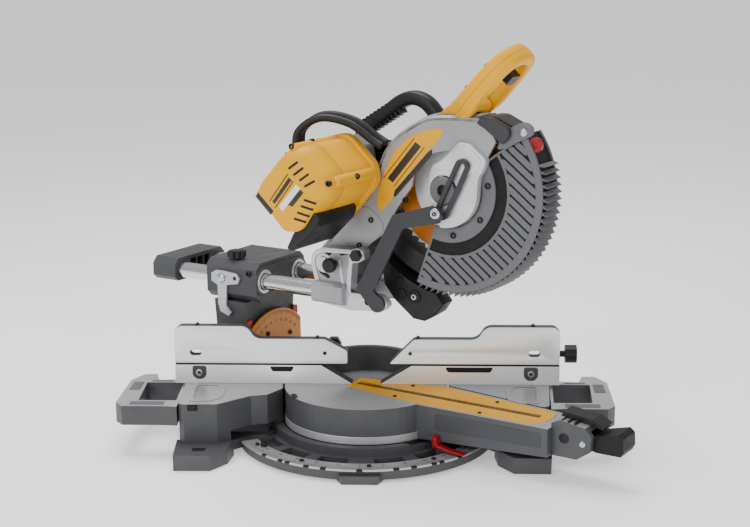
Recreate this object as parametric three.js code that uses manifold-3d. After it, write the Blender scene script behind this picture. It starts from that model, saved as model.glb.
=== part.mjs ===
// A sliding compound miter saw with its arm turned 60 degrees to the right and its head raised.
// World frame: +Z up, Z = 0 on the bench, X along the fence to the operator's right, Y away from the operator.
// The origin is the mitre axis. The saw frame is the world frame turned by the mitre angle, so that the
// arm lies along its -Y and the blade lies in its X = 0 plane.
import * as THREE from "three";
import { mergeVertices } from "three/addons/utils/BufferGeometryUtils.js";
import Module from "manifold-3d";

const wasm = await Module();
wasm.setup();

// Driving dimensions, millimetres and degrees.
const MITRE = 60;
const RAISE = 47;
const TABLE_Z = 84.2;
const TABLE_R = 126.4;
const DETENT_R = 204;
const DETENT_Z = 20.4;
const FENCE_HALF = 298;
const FENCE_LOW_Z = 156;
const FENCE_TALL_Z = 176;
const HANDLE_HALF = 374;
const ARM_END = -333;
const RAIL_X = 45;
const RAIL_Z = 238;
const RAIL_R = 12.75;
const PIVOT = [41.4, 282.3];
const ARBOR = [-186.5, 222.2];
const BLADE_R = 108;
const GUARD_R = 151;
const MOTOR = [-75, 355];
const BEVEL_Z = 84.5;
const GAP = 0.3;

const rad = THREE.MathUtils.degToRad;

// Turns a three.js geometry into a manifold solid.
function solid(geometry) {
  const bare = geometry.index ? geometry.toNonIndexed() : geometry;
  bare.deleteAttribute("normal");
  bare.deleteAttribute("uv");
  const merged = mergeVertices(bare, 1e-4);
  const mesh = new wasm.Mesh({
    numProp: 3,
    vertProperties: merged.attributes.position.array,
    triVerts: new Uint32Array(merged.index.array),
  });
  return new wasm.Manifold(mesh);
}

// An outline may be listed in either direction round the shape.
function shapeOf(points, holes = []) {
  const outline = points.map(([a, b]) => new THREE.Vector2(a, b));
  if (THREE.ShapeUtils.isClockWise(outline)) outline.reverse();
  const shape = new THREE.Shape(outline);
  for (const hole of holes) {
    shape.holes.push(new THREE.Path(hole.map(([a, b]) => new THREE.Vector2(a, b))));
  }
  return shape;
}

// A plan outline (x, y) raised between two heights.
function prismZ(points, z0, z1, holes = []) {
  const geometry = new THREE.ExtrudeGeometry(shapeOf(points, holes), { depth: z1 - z0, bevelEnabled: false });
  geometry.translate(0, 0, z0);
  return solid(geometry);
}

// A side outline (y, z) stretched between two x values.
function prismX(points, x0, x1, holes = []) {
  const geometry = new THREE.ExtrudeGeometry(shapeOf(points, holes), { depth: x1 - x0, bevelEnabled: false });
  geometry.rotateY(Math.PI / 2);
  geometry.rotateX(Math.PI / 2);
  geometry.translate(x0, 0, 0);
  return solid(geometry);
}

// A front outline (x, z) stretched between two y values.
function prismY(points, y0, y1, holes = []) {
  const geometry = new THREE.ExtrudeGeometry(shapeOf(points, holes), { depth: y1 - y0, bevelEnabled: false });
  geometry.rotateX(Math.PI / 2);
  geometry.translate(0, y1, 0);
  return solid(geometry);
}

function box(x0, y0, z0, x1, y1, z1) {
  const geometry = new THREE.BoxGeometry(x1 - x0, y1 - y0, z1 - z0);
  geometry.translate((x0 + x1) / 2, (y0 + y1) / 2, (z0 + z1) / 2);
  return solid(geometry);
}

function arc(cx, cy, r, from, to, steps) {
  const points = [];
  for (let i = 0; i <= steps; i += 1) {
    const angle = rad(from + ((to - from) * i) / steps);
    points.push([cx + r * Math.cos(angle), cy + r * Math.sin(angle)]);
  }
  return points;
}

function circle(cx, cy, r, steps = 32) {
  return arc(cx, cy, r, 0, 360 - 360 / steps, steps - 1);
}

// Two arcs joined into the outline of a belt or a slot round two circles.
function stadium(a, ra, b, rb, steps = 12) {
  const along = Math.atan2(b[1] - a[1], b[0] - a[0]);
  const lean = Math.asin((ra - rb) / Math.hypot(b[0] - a[0], b[1] - a[1]));
  const deg = THREE.MathUtils.radToDeg;
  const start = deg(along) + 90 - deg(lean);
  const end = deg(along) + 270 + deg(lean);
  return [...arc(a[0], a[1], ra, start, end, steps), ...arc(b[0], b[1], rb, end - 360, start, steps)];
}

function rodX(y, z, r, x0, x1, steps = 24) {
  return prismX(circle(y, z, r, steps), x0, x1);
}

function rodY(x, z, r, y0, y1, steps = 24) {
  return prismY(circle(x, z, r, steps), y0, y1);
}

function rodZ(x, y, r, z0, z1, steps = 24) {
  return prismZ(circle(x, y, r, steps), z0, z1);
}

function union(first, ...others) {
  return others.reduce((whole, piece) => whole.add(piece), first);
}

function cut(first, ...others) {
  return others.reduce((whole, piece) => whole.subtract(piece), first);
}

const LOOKS = {
  castDark: [0x4a4b4d, 0.55, 0.35],
  castLight: [0xb4b5b7, 0.45, 0.6],
  steel: [0xc8cacc, 0.25, 0.95],
  machined: [0xd9dadc, 0.3, 0.9],
  yellow: [0xf2b705, 0.45, 0.0],
  black: [0x18181a, 0.55, 0.05],
  grey: [0x66686b, 0.5, 0.2],
  red: [0xb01c28, 0.4, 0.0],
  copper: [0xb06a3a, 0.4, 0.8],
};

function addPiece(group, name, shape, look) {
  const made = shape.getMesh();
  const geometry = new THREE.BufferGeometry();
  geometry.setAttribute("position", new THREE.BufferAttribute(new Float32Array(made.vertProperties), 3));
  geometry.setIndex(new THREE.BufferAttribute(new Uint32Array(made.triVerts), 1));
  geometry.computeVertexNormals();
  const [color, roughness, metalness] = LOOKS[look];
  const mesh = new THREE.Mesh(geometry, new THREE.MeshStandardMaterial({ color, roughness, metalness }));
  mesh.name = name;
  group.add(mesh);
}

// ---- Base, in the world frame ----

function blockPlan(side) {
  const front = [
    [side * 284, 24],
    [side * 276, -100],
    [side * 268, -106],
    [side * 218, -104],
    [side * 172, -62],
    [side * 148, -56],
    [side * 128, -24],
    [side * 118, 24],
  ];
  return front;
}

function baseCasting() {
  const table = cut(
    union(
      prismZ(blockPlan(-1), 6, TABLE_Z),
      prismZ(blockPlan(1), 6, TABLE_Z),
      rodZ(0, 0, 142, 4, 30, 64),
      rodZ(0, 0, 26, 0, 20, 32),
      box(-262, -20, 2, 262, 96, 24),
    ),
    rodZ(0, 0, 129.5, 21.5, 90, 64),
  );
  const tray = cut(
    prismZ([...arc(0, 0, 199, 178, 362, 48), [150, 20], [-150, 20]], 3, DETENT_Z - 3.2),
    ...[-128, -105, -75, -52, -30, -150].map((angle) => {
      const window = prismZ(arc(0, 0, 176, angle - 8, angle + 8, 4).concat(arc(0, 0, 150, angle + 8, angle - 8, 4)), 8, 30);
      return window;
    }),
  );
  const feet = [-1, 1].flatMap((side) => [
    prismZ([[side * 276, -161], [side * 222, -160], [side * 200, -128], [side * 196, -92], [side * 282, -92]], 0, 24),
    rodZ(side * 240, 74, 20, 0, 20, 24),
  ]);
  const tab = prismZ([[-26, -209], [26, -209], [34, -190], [-34, -190]], 0, 12);
  const hollows = [-1, 1].map((side) =>
    box(Math.min(side * 266, side * 150), -44, -1, Math.max(side * 266, side * 150), 8, 74),
  );
  const armClearance = prismZ([[-70, -420], [-70, -104], [60.5, -104], [37.5, -309], [35.5, -420]], 25, 100).rotate([0, 0, MITRE]);
  const pointerRoom = prismZ([...arc(0, 0, 219, -172, -145, 8), ...arc(0, 0, 144, -145, -172, 8)], 20.7, 38);
  return cut(
    union(table, tray, tab, ...feet),
    pointerRoom,
    ...hollows,
    armClearance,
    rodZ(0, 0, 10.5, 7, 40),
  );
}

function detentPlate() {
  const rim = [];
  const stops = [-90, -75, -67.5, -58.4, -54.7, -45, -105, -112.5, -121.6, -125.3, -135];
  const outline = arc(0, 0, DETENT_R, 205, 335, 52).concat(arc(0, 0, 178, 335, 205, 36));
  for (const angle of stops) {
    const a = rad(angle);
    const geometry = new THREE.BoxGeometry(9, 9, 8);
    geometry.rotateZ(a);
    geometry.translate(DETENT_R * Math.cos(a), DETENT_R * Math.sin(a), DETENT_Z - 1);
    rim.push(solid(geometry));
  }
  return cut(prismZ(outline, DETENT_Z - 2.8, DETENT_Z), ...rim);
}

function endHandle(side) {
  const points = [
    [284.6, 34],
    [330, 30],
    [338, 60],
    [358, 60],
    [HANDLE_HALF, 28],
    [HANDLE_HALF, -86],
    [362, -102],
    [300, -102],
    [278.5, -104],
  ].map(([x, y]) => [side * x, y]);
  const gap = [[288, 16], [346, 16], [342, -74], [284, -74]].map(([x, y]) => [side * x, y]);
  return prismZ(points, 50, 80, [gap]);
}

function fixedFence() {
  const wing = (side) => {
    const face = [[22, TABLE_Z + GAP], [FENCE_HALF, TABLE_Z + GAP], [FENCE_HALF, 114], [70, 114]];
    const points = face.map(([x, z]) => [side * x, z]);
    return prismY(points, 0, 22);
  };
  const ring = (from, to, top) =>
    prismZ(arc(0, 0, 84, from, to, 24).concat(arc(0, 0, 74, to, from, 24)), TABLE_Z + GAP, top);
  const bridge = union(ring(4, 176, 113), ring(24, 156, 124));
  const slots = [-1, 1].map((side) => box(Math.min(side * 120, side * 270), 6, 96, Math.max(side * 120, side * 270), 30, 106));
  return cut(union(wing(-1), wing(1), bridge), ...slots);
}

function slidingFence(side) {
  const slope = side < 0 ? [[29, 116], [29, 137], [64, FENCE_LOW_Z]] : [[35, 116], [74, FENCE_LOW_Z]];
  const points = [
    ...slope,
    [166, FENCE_LOW_Z],
    [174, 160],
    [182, 172],
    [190, FENCE_TALL_Z],
    [290, FENCE_TALL_Z],
    [FENCE_HALF, 168],
    [FENCE_HALF, 116],
  ].map(([x, z]) => [side * x, z]);
  return prismY(points, 2, 18);
}

const saw = new THREE.Group();
addPiece(saw, "base_casting", baseCasting(), "castDark");
addPiece(saw, "detent_plate", detentPlate(), "machined");
addPiece(saw, "left_end_handle", endHandle(-1), "castLight");
addPiece(saw, "right_end_handle", endHandle(1), "castLight");
addPiece(saw, "fixed_fence", fixedFence(), "machined");
addPiece(saw, "center_pivot_bolt", union(rodZ(0, 0, 14, 60.3, 67, 6), rodZ(0, 0, 9.8, 9, 61)), "steel");
addPiece(saw, "left_sliding_fence", slidingFence(-1), "machined");
addPiece(saw, "right_sliding_fence", slidingFence(1), "machined");
addPiece(saw, "left_fence_knob", union(rodY(-52, 139, 5, 18.3, 28), rodY(-52, 139, 12, 28, 42, 6)), "black");
addPiece(
  saw,
  "right_fence_knob",
  union(rodX(10, 132, 5, FENCE_HALF + GAP, 308), rodX(10, 132, 14, 306, 324, 16)),
  "black",
);

// ---- Turntable, in the saw frame ----

const table = new THREE.Group();
table.rotation.z = rad(MITRE);
saw.add(table);

function turntable() {
  const disc = rodZ(0, 0, TABLE_R, 30, TABLE_Z, 72);
  const skirt = rodZ(0, 0, TABLE_R - 6, 22, 31, 72);
  const armPlan = [[-45, -90], [-45, ARM_END], [31, ARM_END], [33, -309], [56.5, -105], [56.5, -90]];
  const arm = prismX([[-90, 30], [ARM_END, 42], [ARM_END, TABLE_Z], [-90, TABLE_Z]], -50, 60).intersect(prismZ(armPlan, 20, 90));
  const nose = prismX([[-332, 42], [-372, 42], [-392, 56], [-394, 78], [-384, 90], [-345, 96], [-332, 90]], -31, 31);
  const rear = union(
    box(-40, 90, 34, 40, 171.6, 82),
    prismY([...arc(0, BEVEL_Z, 30, 0, 180, 16), [-30, 40], [30, 40]], 128, 171.6),
  );
  const channel = box(-16, -318, 60, 16, 24, 90);
  const plateSeat = prismZ(kerfOutline(GAP), TABLE_Z - 3.3, 90);
  const hollow = box(-33, -322, 20, 28, -140, 62);
  const mouth = box(-22, -396, 50, 22, -370, 84);
  return cut(
    union(disc, skirt, arm, nose, rear),
    channel,
    plateSeat,
    hollow,
    mouth,
    rodZ(0, 0, 10.5, 10, 70),
    rodY(0, 52, 6, -376, -300),
    rodY(0, BEVEL_Z, 12.3, 120, 180),
  );
}

// The plate is lopsided: its right edge leans in towards the front of the arm.
function kerfOutline(grow) {
  const left = [[-24, 20], [-35, -60], [-41, -120], [-37, -300]].map(([x, y]) => [x - grow, y]);
  const right = [[29, -308], [52, -110], [40, -60], [24, 20]].map(([x, y]) => [x + grow, y]);
  const end = [[-24, -312], [-12, -317], [12, -317], [22, -313]].map(([x, y]) => [x, y - grow]);
  return [[24 + grow, 24 + grow], [-24 - grow, 24 + grow], ...left, ...end, ...right];
}

function kerfPlate() {
  const mouth = [[-2.6, 90], [-2.6, TABLE_Z - 0.4], [-6.4, TABLE_Z - 4], [6.4, TABLE_Z - 4], [2.6, TABLE_Z - 0.4], [2.6, 90]];
  const slot = prismY(mouth, -300, 16);
  const screws = [[-29, -70], [29.5, -67], [-32, -217], [25, -216]].map(([x, y]) => rodZ(x, y, 2.6, 70, 90, 12));
  return cut(prismZ(kerfOutline(0), TABLE_Z - 3, TABLE_Z), slot, ...screws);
}

function bevelScale() {
  const outline = [...arc(0, BEVEL_Z, 97, 46, 134, 28), [-68, 116], [68, 116]];
  return cut(prismY(outline, 172, 176), rodY(0, BEVEL_Z, 40, 160, 190));
}

addPiece(table, "turntable", turntable(), "castDark");
addPiece(table, "kerf_plate", kerfPlate(), "yellow");
addPiece(table, "miter_pointer", prismX([[-150, 26.5], [-206, 24.6], [-206, 25.8], [-150, 32]], -62, -45.3), "red");
addPiece(table, "miter_lock_rod", union(rodY(0, 52, 5.4, -370, -149, 16), rodY(0, 52, 8.5, -159, -149, 16)), "steel");
addPiece(
  table,
  "miter_lock_handle",
  cut(
    union(rodX(-380, 66, 9, -21, 21), prismX([[-376, 58], [-398, 54], [-434, 54], [-438, 62], [-437, 80], [-430, 86], [-398, 78], [-376, 74]], -21, 21)),
    rodX(-380, 66, 3, -30, 30, 12),
  ),
  "black",
);
addPiece(table, "miter_latch_lever", prismX([[-340, 97], [-386, 91.5], [-404, 86], [-406, 90], [-388, 99], [-342, 104]], -15, 15), "black");
addPiece(table, "bevel_pivot_shaft", rodY(0, BEVEL_Z, 12, 122, 262), "steel");
addPiece(table, "bevel_scale", bevelScale(), "yellow");

// ---- Bevel housing ----

function bevelHousing() {
  const column = prismY(
    [[-30, 66], [-42, 100], [-60, 160], [-64, 204], [64, 204], [60, 160], [42, 100], [30, 66], [0, 52]],
    182,
    244,
  );
  const block = prismY(
    [[-64, 216], [-64, 258], [-54, 268], [54, 268], [64, 258], [64, 216], [54, 206], [40, 203], [-40, 203], [-54, 206]],
    160,
    258,
  );
  const bores = [-1, 1].map((side) => rodY(side * RAIL_X, RAIL_Z, RAIL_R + 4.2, 150, 270, 32));
  return cut(
    union(column, block),
    ...bores,
    rodY(0, BEVEL_Z, 12.4, 170, 250),
    box(-18, 196, 110, 18, 250, 190),
  );
}

function railBushing(side) {
  const wall = prismY(circle(side * RAIL_X, RAIL_Z, RAIL_R + 3.9, 32), 162, 256, [circle(side * RAIL_X, RAIL_Z, RAIL_R + 0.4, 32)]);
  return wall;
}

function starKnob(x, y, z0) {
  const lobes = [];
  for (let i = 0; i < 8; i += 1) {
    const angle = rad(i * 45);
    lobes.push(rodZ(x + 11 * Math.cos(angle), y + 11 * Math.sin(angle), 4, z0 + 3, z0 + 13, 8));
  }
  return union(rodZ(x, y, 11, z0 + 2, z0 + 14, 24), rodZ(x, y, 6, z0, z0 + 3), ...lobes);
}

addPiece(table, "bevel_housing", bevelHousing(), "castDark");
addPiece(table, "left_rail_bushing", railBushing(-1), "machined");
addPiece(table, "right_rail_bushing", railBushing(1), "machined");
addPiece(table, "left_bevel_pointer", prismY([[-54, 166], [-62, 156], [-67, 162], [-66, 174], [-56, 176]], 177, 181.7), "red");
addPiece(table, "right_bevel_pointer", prismY([[54, 166], [56, 176], [66, 174], [67, 162], [62, 156]], 177, 181.7), "red");
addPiece(table, "rail_lock_knob", starKnob(-45, 212, 268.3), "black");
addPiece(
  table,
  "slide_lock_lever",
  cut(
    prismX([[246, 246], [236, 252], [222, 252], [196, 250], [190, 242], [194, 234], [216, 230], [218, 196], [208, 186], [214, 180], [230, 186], [234, 200], [234, 228], [246, 234]], -68, -64.3),
    rodX(200, 242, 3.4, -80, -60, 16),
  ),
  "steel",
);
addPiece(
  table,
  "bevel_lock_lever",
  cut(
    union(rodY(0, BEVEL_Z, 22, 245, 264), prismY([[-16, 96], [16, 96], [13, 176], [6, 184], [-6, 184], [-13, 176]], 248, 262)),
    rodY(0, BEVEL_Z, 12.4, 240, 270),
  ),
  "black",
);

// ---- Carriage: rails, end cap and head bracket ----

function railBracket() {
  const cheek = [
    [64, 276], [64, 292], [54, 302], [42, 306], [-10, 308], [-20, 312], [-30, 308], [-32, 296], [-22, 290], [-10, 288], [-6, 242],
    [-56, 243], [-66, 236], [-66, 226], [-58, 220], [-6, 215], [24, 218], [58, 222], [58, 256],
  ];
  const cheeks = union(prismX(cheek, -50, -34), prismX(cheek, 34, 50));
  const block = prismY([[-62, 226], [-56, 222], [56, 222], [62, 226], [62, 250], [56, 254], [34, 254], [34, 248], [-34, 248], [-34, 254], [-56, 254], [-62, 250]], 2, 58);
  const bores = [-1, 1].map((side) => rodY(side * RAIL_X, RAIL_Z, RAIL_R + GAP, 8, 70, 32));
  return cut(
    union(cheeks, block),
    ...bores,
    rodX(PIVOT[0], PIVOT[1], 9.8, -70, 70),
    rodX(22.7, 283, 5.3, -70, -30, 16),
    rodX(-56, 232, 4.3, -70, -30, 16),
    rodX(-20, 301, 5.3, -70, 70, 16),
  );
}

function endCap() {
  const outline = [[-64, 228], [-56, 221], [56, 221], [64, 228], [64, 248], [54, 258], [-54, 258], [-64, 248]];
  const bores = [-1, 1].map((side) => rodY(side * RAIL_X, RAIL_Z, RAIL_R + GAP, 310, 362, 32));
  const ribs = [-1, 0, 1].map((k) => box(k * 17 - 7, 310, 228, k * 17 + 7, 350, 252));
  return cut(prismY(outline, 324, 370), ...bores, ...ribs);
}

for (const [name, side] of [["left_rail", -1], ["right_rail", 1]]) {
  const tube = cut(rodY(side * RAIL_X, RAIL_Z, RAIL_R, 10, 361, 32), rodY(side * RAIL_X, RAIL_Z, RAIL_R - 3, 0, 350, 24));
  addPiece(table, name, tube, "steel");
}
addPiece(table, "rail_end_cap", endCap(), "castDark");
addPiece(table, "rail_bracket", railBracket(), "castLight");
addPiece(table, "lock_down_pin", union(rodX(22.7, 283, 5, -56, -35), rodX(22.7, 283, 8, -68, -55)), "black");
addPiece(table, "plunge_shaft", rodX(PIVOT[0], PIVOT[1], 9.5, -53, 68), "steel");
addPiece(table, "plunge_spring", cut(rodX(PIVOT[0], PIVOT[1], 17, 51, 66), rodX(PIVOT[0], PIVOT[1], 9.9, 40, 70)), "steel");
addPiece(table, "depth_stop_bolt", union(rodX(-20, 301, 5, -56, -33.5), rodX(-20, 301, 9, -60, -50.3, 6)), "black");

// ---- Saw head, built level about its pivot and then raised ----

const carriage = new THREE.Group();
carriage.position.set(0, PIVOT[0], PIVOT[1]);
carriage.rotation.x = -rad(RAISE);
table.add(carriage);
const head = new THREE.Group();
head.position.set(0, -PIVOT[0], -PIVOT[1]);
carriage.add(head);

function headCasting() {
  const plate = [
    [40, 308], [-20, 306.5], [-75, 303], [-105, 308], [-131, 322], [-156, 329], [-185, 329], [-215, 322], [-242, 311],
    [-272, 284], [-300, 255], [-304, 238], [-296, 214], [-262, 206], [-250, 226], [-238, 252], [-224, 264], [-150, 264],
    [-92, 256], [-60, 248], [-20, 256], [20, 262],
  ];
  const arm = [[40, 301.6], [40, 308], [-20, 306.5], [-74, 303], [-74, 252], [-20, 256], [18, 264], [36, 263.4]];
  const mount = [[-92, 300], [-92, 345], [-112, 374], [-112, 396], [-28, 396], [-22, 380], [-22, 300]];
  const boss = rodX(PIVOT[0], PIVOT[1], 19.3, -33.6, 33.6, 32);
  const guardRoom = rodX(ARBOR[0], ARBOR[1], 160, -26.5, 26.5, 72);
  const middle = cut(union(prismX(arm, -31, 31), prismX(mount, -31, 31)), guardRoom);
  const bearing = rodX(ARBOR[0], ARBOR[1], 50, 26.5, 31, 40);
  return cut(
    union(prismX(plate, -31, -26.5), prismX(plate, 26.5, 31), middle, bearing, boss),
    rodX(ARBOR[0], ARBOR[1], 8.3, 20, 40),
    rodX(-140, 300, 6.4, 20, 34, 16),
    rodX(PIVOT[0], PIVOT[1], 10, -50, 50),
    rodX(MOTOR[0], MOTOR[1], 12, -50, 50),
    box(-20, -66, 240, 20, 10, 297),
    rodX(ARBOR[0], ARBOR[1], 55.4, -40, 0, 40),
  );
}

function guardHubPlate() {
  const full = union(
    prismX(circle(ARBOR[0], ARBOR[1], 55, 40), -37, -31.3),
    prismX([[-232, 262], [-262, 262], [-284, 216], [-262, 190], [-200, 190], [-190, 250]], -37, -31.3),
  );
  const neck = prismX(circle(ARBOR[0], ARBOR[1], 55, 40), -31.4, -14);
  return cut(union(full, neck), rodX(ARBOR[0], ARBOR[1], 27, -60, 0, 32));
}

function lowerGuard() {
  const low = -157;
  const high = -11;
  const ringPlate = (x0, x1, r) => {
    const sector = [...arc(0, 0, GUARD_R - 4, low, high, 40), ...arc(0, 0, 58, high, low, 30)];
    const moved = sector.map(([f, u]) => [ARBOR[0] - f, ARBOR[1] + u]);
    return union(prismX(moved, x0, x1), prismX(circle(ARBOR[0], ARBOR[1], 78, 40), x0, x1)).subtract(rodX(ARBOR[0], ARBOR[1], r, x0 - 1, x1 + 1, 40));
  };
  const rimArc = [...arc(0, 0, GUARD_R, low, high, 48), ...arc(0, 0, 142, high, low, 40)];
  const rim = prismX(rimArc.map(([f, u]) => [ARBOR[0] - f, ARBOR[1] + u]), -24, 24);
  const teeth = [];
  for (let angle = low + 6; angle < high - 2; angle += 8) {
    const a = rad(angle);
    const geometry = new THREE.BoxGeometry(46, 12, 3.4);
    geometry.rotateX(-a);
    geometry.translate(0, ARBOR[0] - (GUARD_R + 2) * Math.cos(a), ARBOR[1] + (GUARD_R + 2) * Math.sin(a));
    teeth.push(solid(geometry));
  }
  return union(ringPlate(-24, -21.5, 55.6), ringPlate(21.5, 24, 62), rim, ...teeth);
}

function handleShell(z0, z1) {
  const outer = [[-46, -240], [-46, -382], [-40, -398], [-28, -406], [28, -406], [40, -398], [46, -382], [46, -240]];
  const inner = [[31.6, -240], [31.6, -350], [24, -368], [-24, -368], [-31.6, -350], [-31.6, -240]];
  const shell = prismZ([...outer, ...inner], z0, z1);
  return cut(shell, box(-13, -377, 262, 13, -366, 279), rodZ(24, -386, 5.9, 289, 300, 16));
}

function sweep(points, r, name) {
  const path = new THREE.CatmullRomCurve3(points.map(([x, y, z]) => new THREE.Vector3(x, y, z)));
  const section = new THREE.Shape(circle(0, 0, r, 10).map(([a, b]) => new THREE.Vector2(a, b)));
  const geometry = new THREE.ExtrudeGeometry(section, { steps: 26, bevelEnabled: false, extrudePath: path });
  geometry.name = name;
  return solid(geometry);
}

function motorShell(x0, x1, openLow, openHigh) {
  const outline = (d) => [
    [-131 + d, 330 + d], [-131 + d, 380 - d], [-112 + d, 398 - d], [-36 - d, 398 - d], [-18 - d, 386 - d], [-18 - d, 330 + d], [-40 - d, 311 + d], [-112 + d, 311 + d],
  ];
  const inside = prismX(outline(4), openLow ? x0 - 1 : x0 + 4, openHigh ? x1 + 1 : x1 - 4);
  return cut(prismX(outline(0), x0, x1), inside);
}

function dustChute() {
  const body = [[-24, 248], [-16, 170], [-2, 124], [-47, 112], [-62, 128], [-52, 152], [-84, 172], [-84, 248]];
  return cut(prismX(body, -14, 17), rodX(ARBOR[0], ARBOR[1], 160, -26, 26, 72));
}

addPiece(head, "head_casting", headCasting(), "castLight");
addPiece(head, "guard_hub_plate", guardHubPlate(), "castLight");
addPiece(head, "front_shroud", prismX([[-296, 262], [-344, 216], [-352, 196], [-312, 182], [-296, 200]], -38, -31.3), "black");
addPiece(head, "motor_housing", cut(motorShell(-120, -34, true, false), rodX(MOTOR[0], MOTOR[1], 12, -60, 0)), "yellow");
addPiece(head, "motor_end_cap", motorShell(-166, -120.3, false, true), "yellow");
addPiece(head, "motor_base", prismX([[-70, 310.6], [-74, 298], [-60, 292], [-4, 296], [2, 306], [-30, 310.6]], -158, -62), "black");
addPiece(head, "stator", prismX(circle(MOTOR[0], MOTOR[1], 38, 32), -114, -72, [circle(MOTOR[0], MOTOR[1], 25, 32)]), "copper");
addPiece(
  head,
  "belt_cover",
  cut(prismX(stadium(ARBOR, 48, MOTOR, 40), 33, 60), prismX(stadium(ARBOR, 45, MOTOR, 37), 20, 57)),
  "castDark",
);
addPiece(
  head,
  "drive_belt",
  cut(prismX(stadium(ARBOR, 33, MOTOR, 19), 40, 52), prismX(stadium(ARBOR, 30.4, MOTOR, 16.4), 30, 60)),
  "black",
);
addPiece(
  head,
  "carry_handle",
  sweep([[46, -92, 396], [46, -104, 404], [46, -140, 394], [46, -185, 381], [46, -212, 366], [46, -219, 346], [46, -214, 322]], 9, "grip")
    .subtract(prismX(stadium(ARBOR, 48.4, MOTOR, 40.4), 20, 60.6)),
  "black",
);
addPiece(head, "handle_upper_shell", handleShell(281.2, 295), "yellow");
addPiece(head, "handle_lower_shell", handleShell(267, 280.9), "yellow");
addPiece(head, "dust_chute", dustChute(), "black");
addPiece(
  head,
  "head_cable",
  sweep([[-80, -62, 400.8], [-78, -66, 418], [-72, -86, 438], [-60, -122, 430], [-46, -146, 394], [-40, -154, 352], [-38.5, -158, 336]], 6.5, "cable"),
  "black",
);
addPiece(
  head,
  "rotor",
  union(
    rodX(MOTOR[0], MOTOR[1], 24, -116, -70, 32),
    rodX(MOTOR[0], MOTOR[1], 6, -150, 40),
    rodX(MOTOR[0], MOTOR[1], 16, 38, 54, 24),
  ),
  "copper",
);
addPiece(
  head,
  "spindle",
  union(
    rodX(ARBOR[0], ARBOR[1], 8, -6.7, 40),
    rodX(ARBOR[0], ARBOR[1], 22, 1.4, 8),
    rodX(ARBOR[0], ARBOR[1], 30, 38, 54, 32),
  ),
  "steel",
);
addPiece(head, "outer_flange", cut(rodX(ARBOR[0], ARBOR[1], 24, -6.5, -1.5), rodX(ARBOR[0], ARBOR[1], 8.3, -9, 20)), "steel");
addPiece(head, "arbor_bolt", cut(rodX(ARBOR[0], ARBOR[1], 20.5, -38, -7), rodX(ARBOR[0], ARBOR[1], 5, -50, -30, 6)), "grey");
addPiece(head, "blade", blade(), "steel");
addPiece(head, "lower_guard", lowerGuard(), "grey");
addPiece(head, "trigger", prismZ([[-12.4, -371.6], [-12.4, -358], [-6, -354], [6, -354], [12.4, -358], [12.4, -371.6]], 263, 278.6), "black");
addPiece(head, "lock_off_button", rodZ(24, -386, 5.5, 291.5, 301, 16), "black");
addPiece(head, "spindle_lock_button", rodX(-140, 300, 6, 31.3, 42, 16), "black");

function blade() {
  const points = [];
  const teeth = 48;
  for (let i = 0; i < teeth; i += 1) {
    const a = (i * 360) / teeth;
    for (const [r, d] of [[BLADE_R, 0], [BLADE_R - 6, 1.6], [BLADE_R - 5, 4]]) {
      points.push([ARBOR[0] + r * Math.cos(rad(a + d)), ARBOR[1] + r * Math.sin(rad(a + d))]);
    }
  }
  return prismX(points, -1.1, 1.1, [circle(ARBOR[0], ARBOR[1], 8.3, 24)]);
}

// The slotted bar that turns the guard, its lever and the roller, placed as they stand with the head raised.
const RAISED_ARBOR = [-157.8, 407.9];
const slotEnds = [[-159, 377], [-192, 446]];
addPiece(
  table,
  "guard_slot_bar",
  cut(prismX(stadium(slotEnds[0], 11, slotEnds[1], 11), -45, -39), prismX(stadium(slotEnds[0], 5, slotEnds[1], 5, 8), -60, -20)),
  "grey",
);
addPiece(
  table,
  "guard_roller",
  rodX(RAISED_ARBOR[0] - 138 * Math.cos(rad(28)), RAISED_ARBOR[1] + 138 * Math.sin(rad(28)), 10, -26.2, -24.3),
  "red",
);
addPiece(
  table,
  "guard_link",
  union(
    prismX([[-20, 250], [-85, 369], [-149, 388], [-162, 384], [-168, 374], [-162, 364], [-102, 350], [-50, 250]], -57, -52),
    rodX(-56, 232, 13, -57, -52),
    prismX([[-20, 252], [-50, 252], [-69, 234], [-56, 219], [-44, 226]], -57, -52),
    rodX(-56, 232, 4, -55, -40, 16),
    rodX(-156.4, 377.5, 4, -55, -45.6, 16),
  ),
  "grey",
);

export default saw;
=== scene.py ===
"""Sliding miter saw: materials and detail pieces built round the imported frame."""
import math

import bmesh
import bpy
from mathutils import Matrix, Vector


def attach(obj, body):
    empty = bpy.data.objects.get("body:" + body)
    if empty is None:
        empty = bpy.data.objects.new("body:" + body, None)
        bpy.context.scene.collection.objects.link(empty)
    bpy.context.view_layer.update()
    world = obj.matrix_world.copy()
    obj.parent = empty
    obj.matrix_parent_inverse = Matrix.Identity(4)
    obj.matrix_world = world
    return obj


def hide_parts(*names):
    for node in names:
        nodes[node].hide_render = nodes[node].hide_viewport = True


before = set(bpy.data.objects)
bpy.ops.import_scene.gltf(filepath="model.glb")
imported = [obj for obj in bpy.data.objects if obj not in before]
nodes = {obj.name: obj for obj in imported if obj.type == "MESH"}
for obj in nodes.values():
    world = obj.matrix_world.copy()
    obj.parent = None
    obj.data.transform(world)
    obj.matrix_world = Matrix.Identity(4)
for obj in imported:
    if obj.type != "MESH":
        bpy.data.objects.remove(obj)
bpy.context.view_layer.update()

# ---- The frames that part.mjs uses: world, saw (turned with the arm) and head (level, then raised) ----

MITRE = math.radians(60)
RAISE = math.radians(-47)
PIVOT = Vector((0, 41.4, 282.3))
ARBOR = (-186.5, 222.2)
WORLD = Matrix.Identity(4)
SAW = Matrix.Rotation(MITRE, 4, "Z")
HEAD = SAW @ Matrix.Translation(PIVOT) @ Matrix.Rotation(RAISE, 4, "X") @ Matrix.Translation(-PIVOT)
TO_METRES = Matrix.Scale(0.001, 4)

# ---- Camera ----

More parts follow.
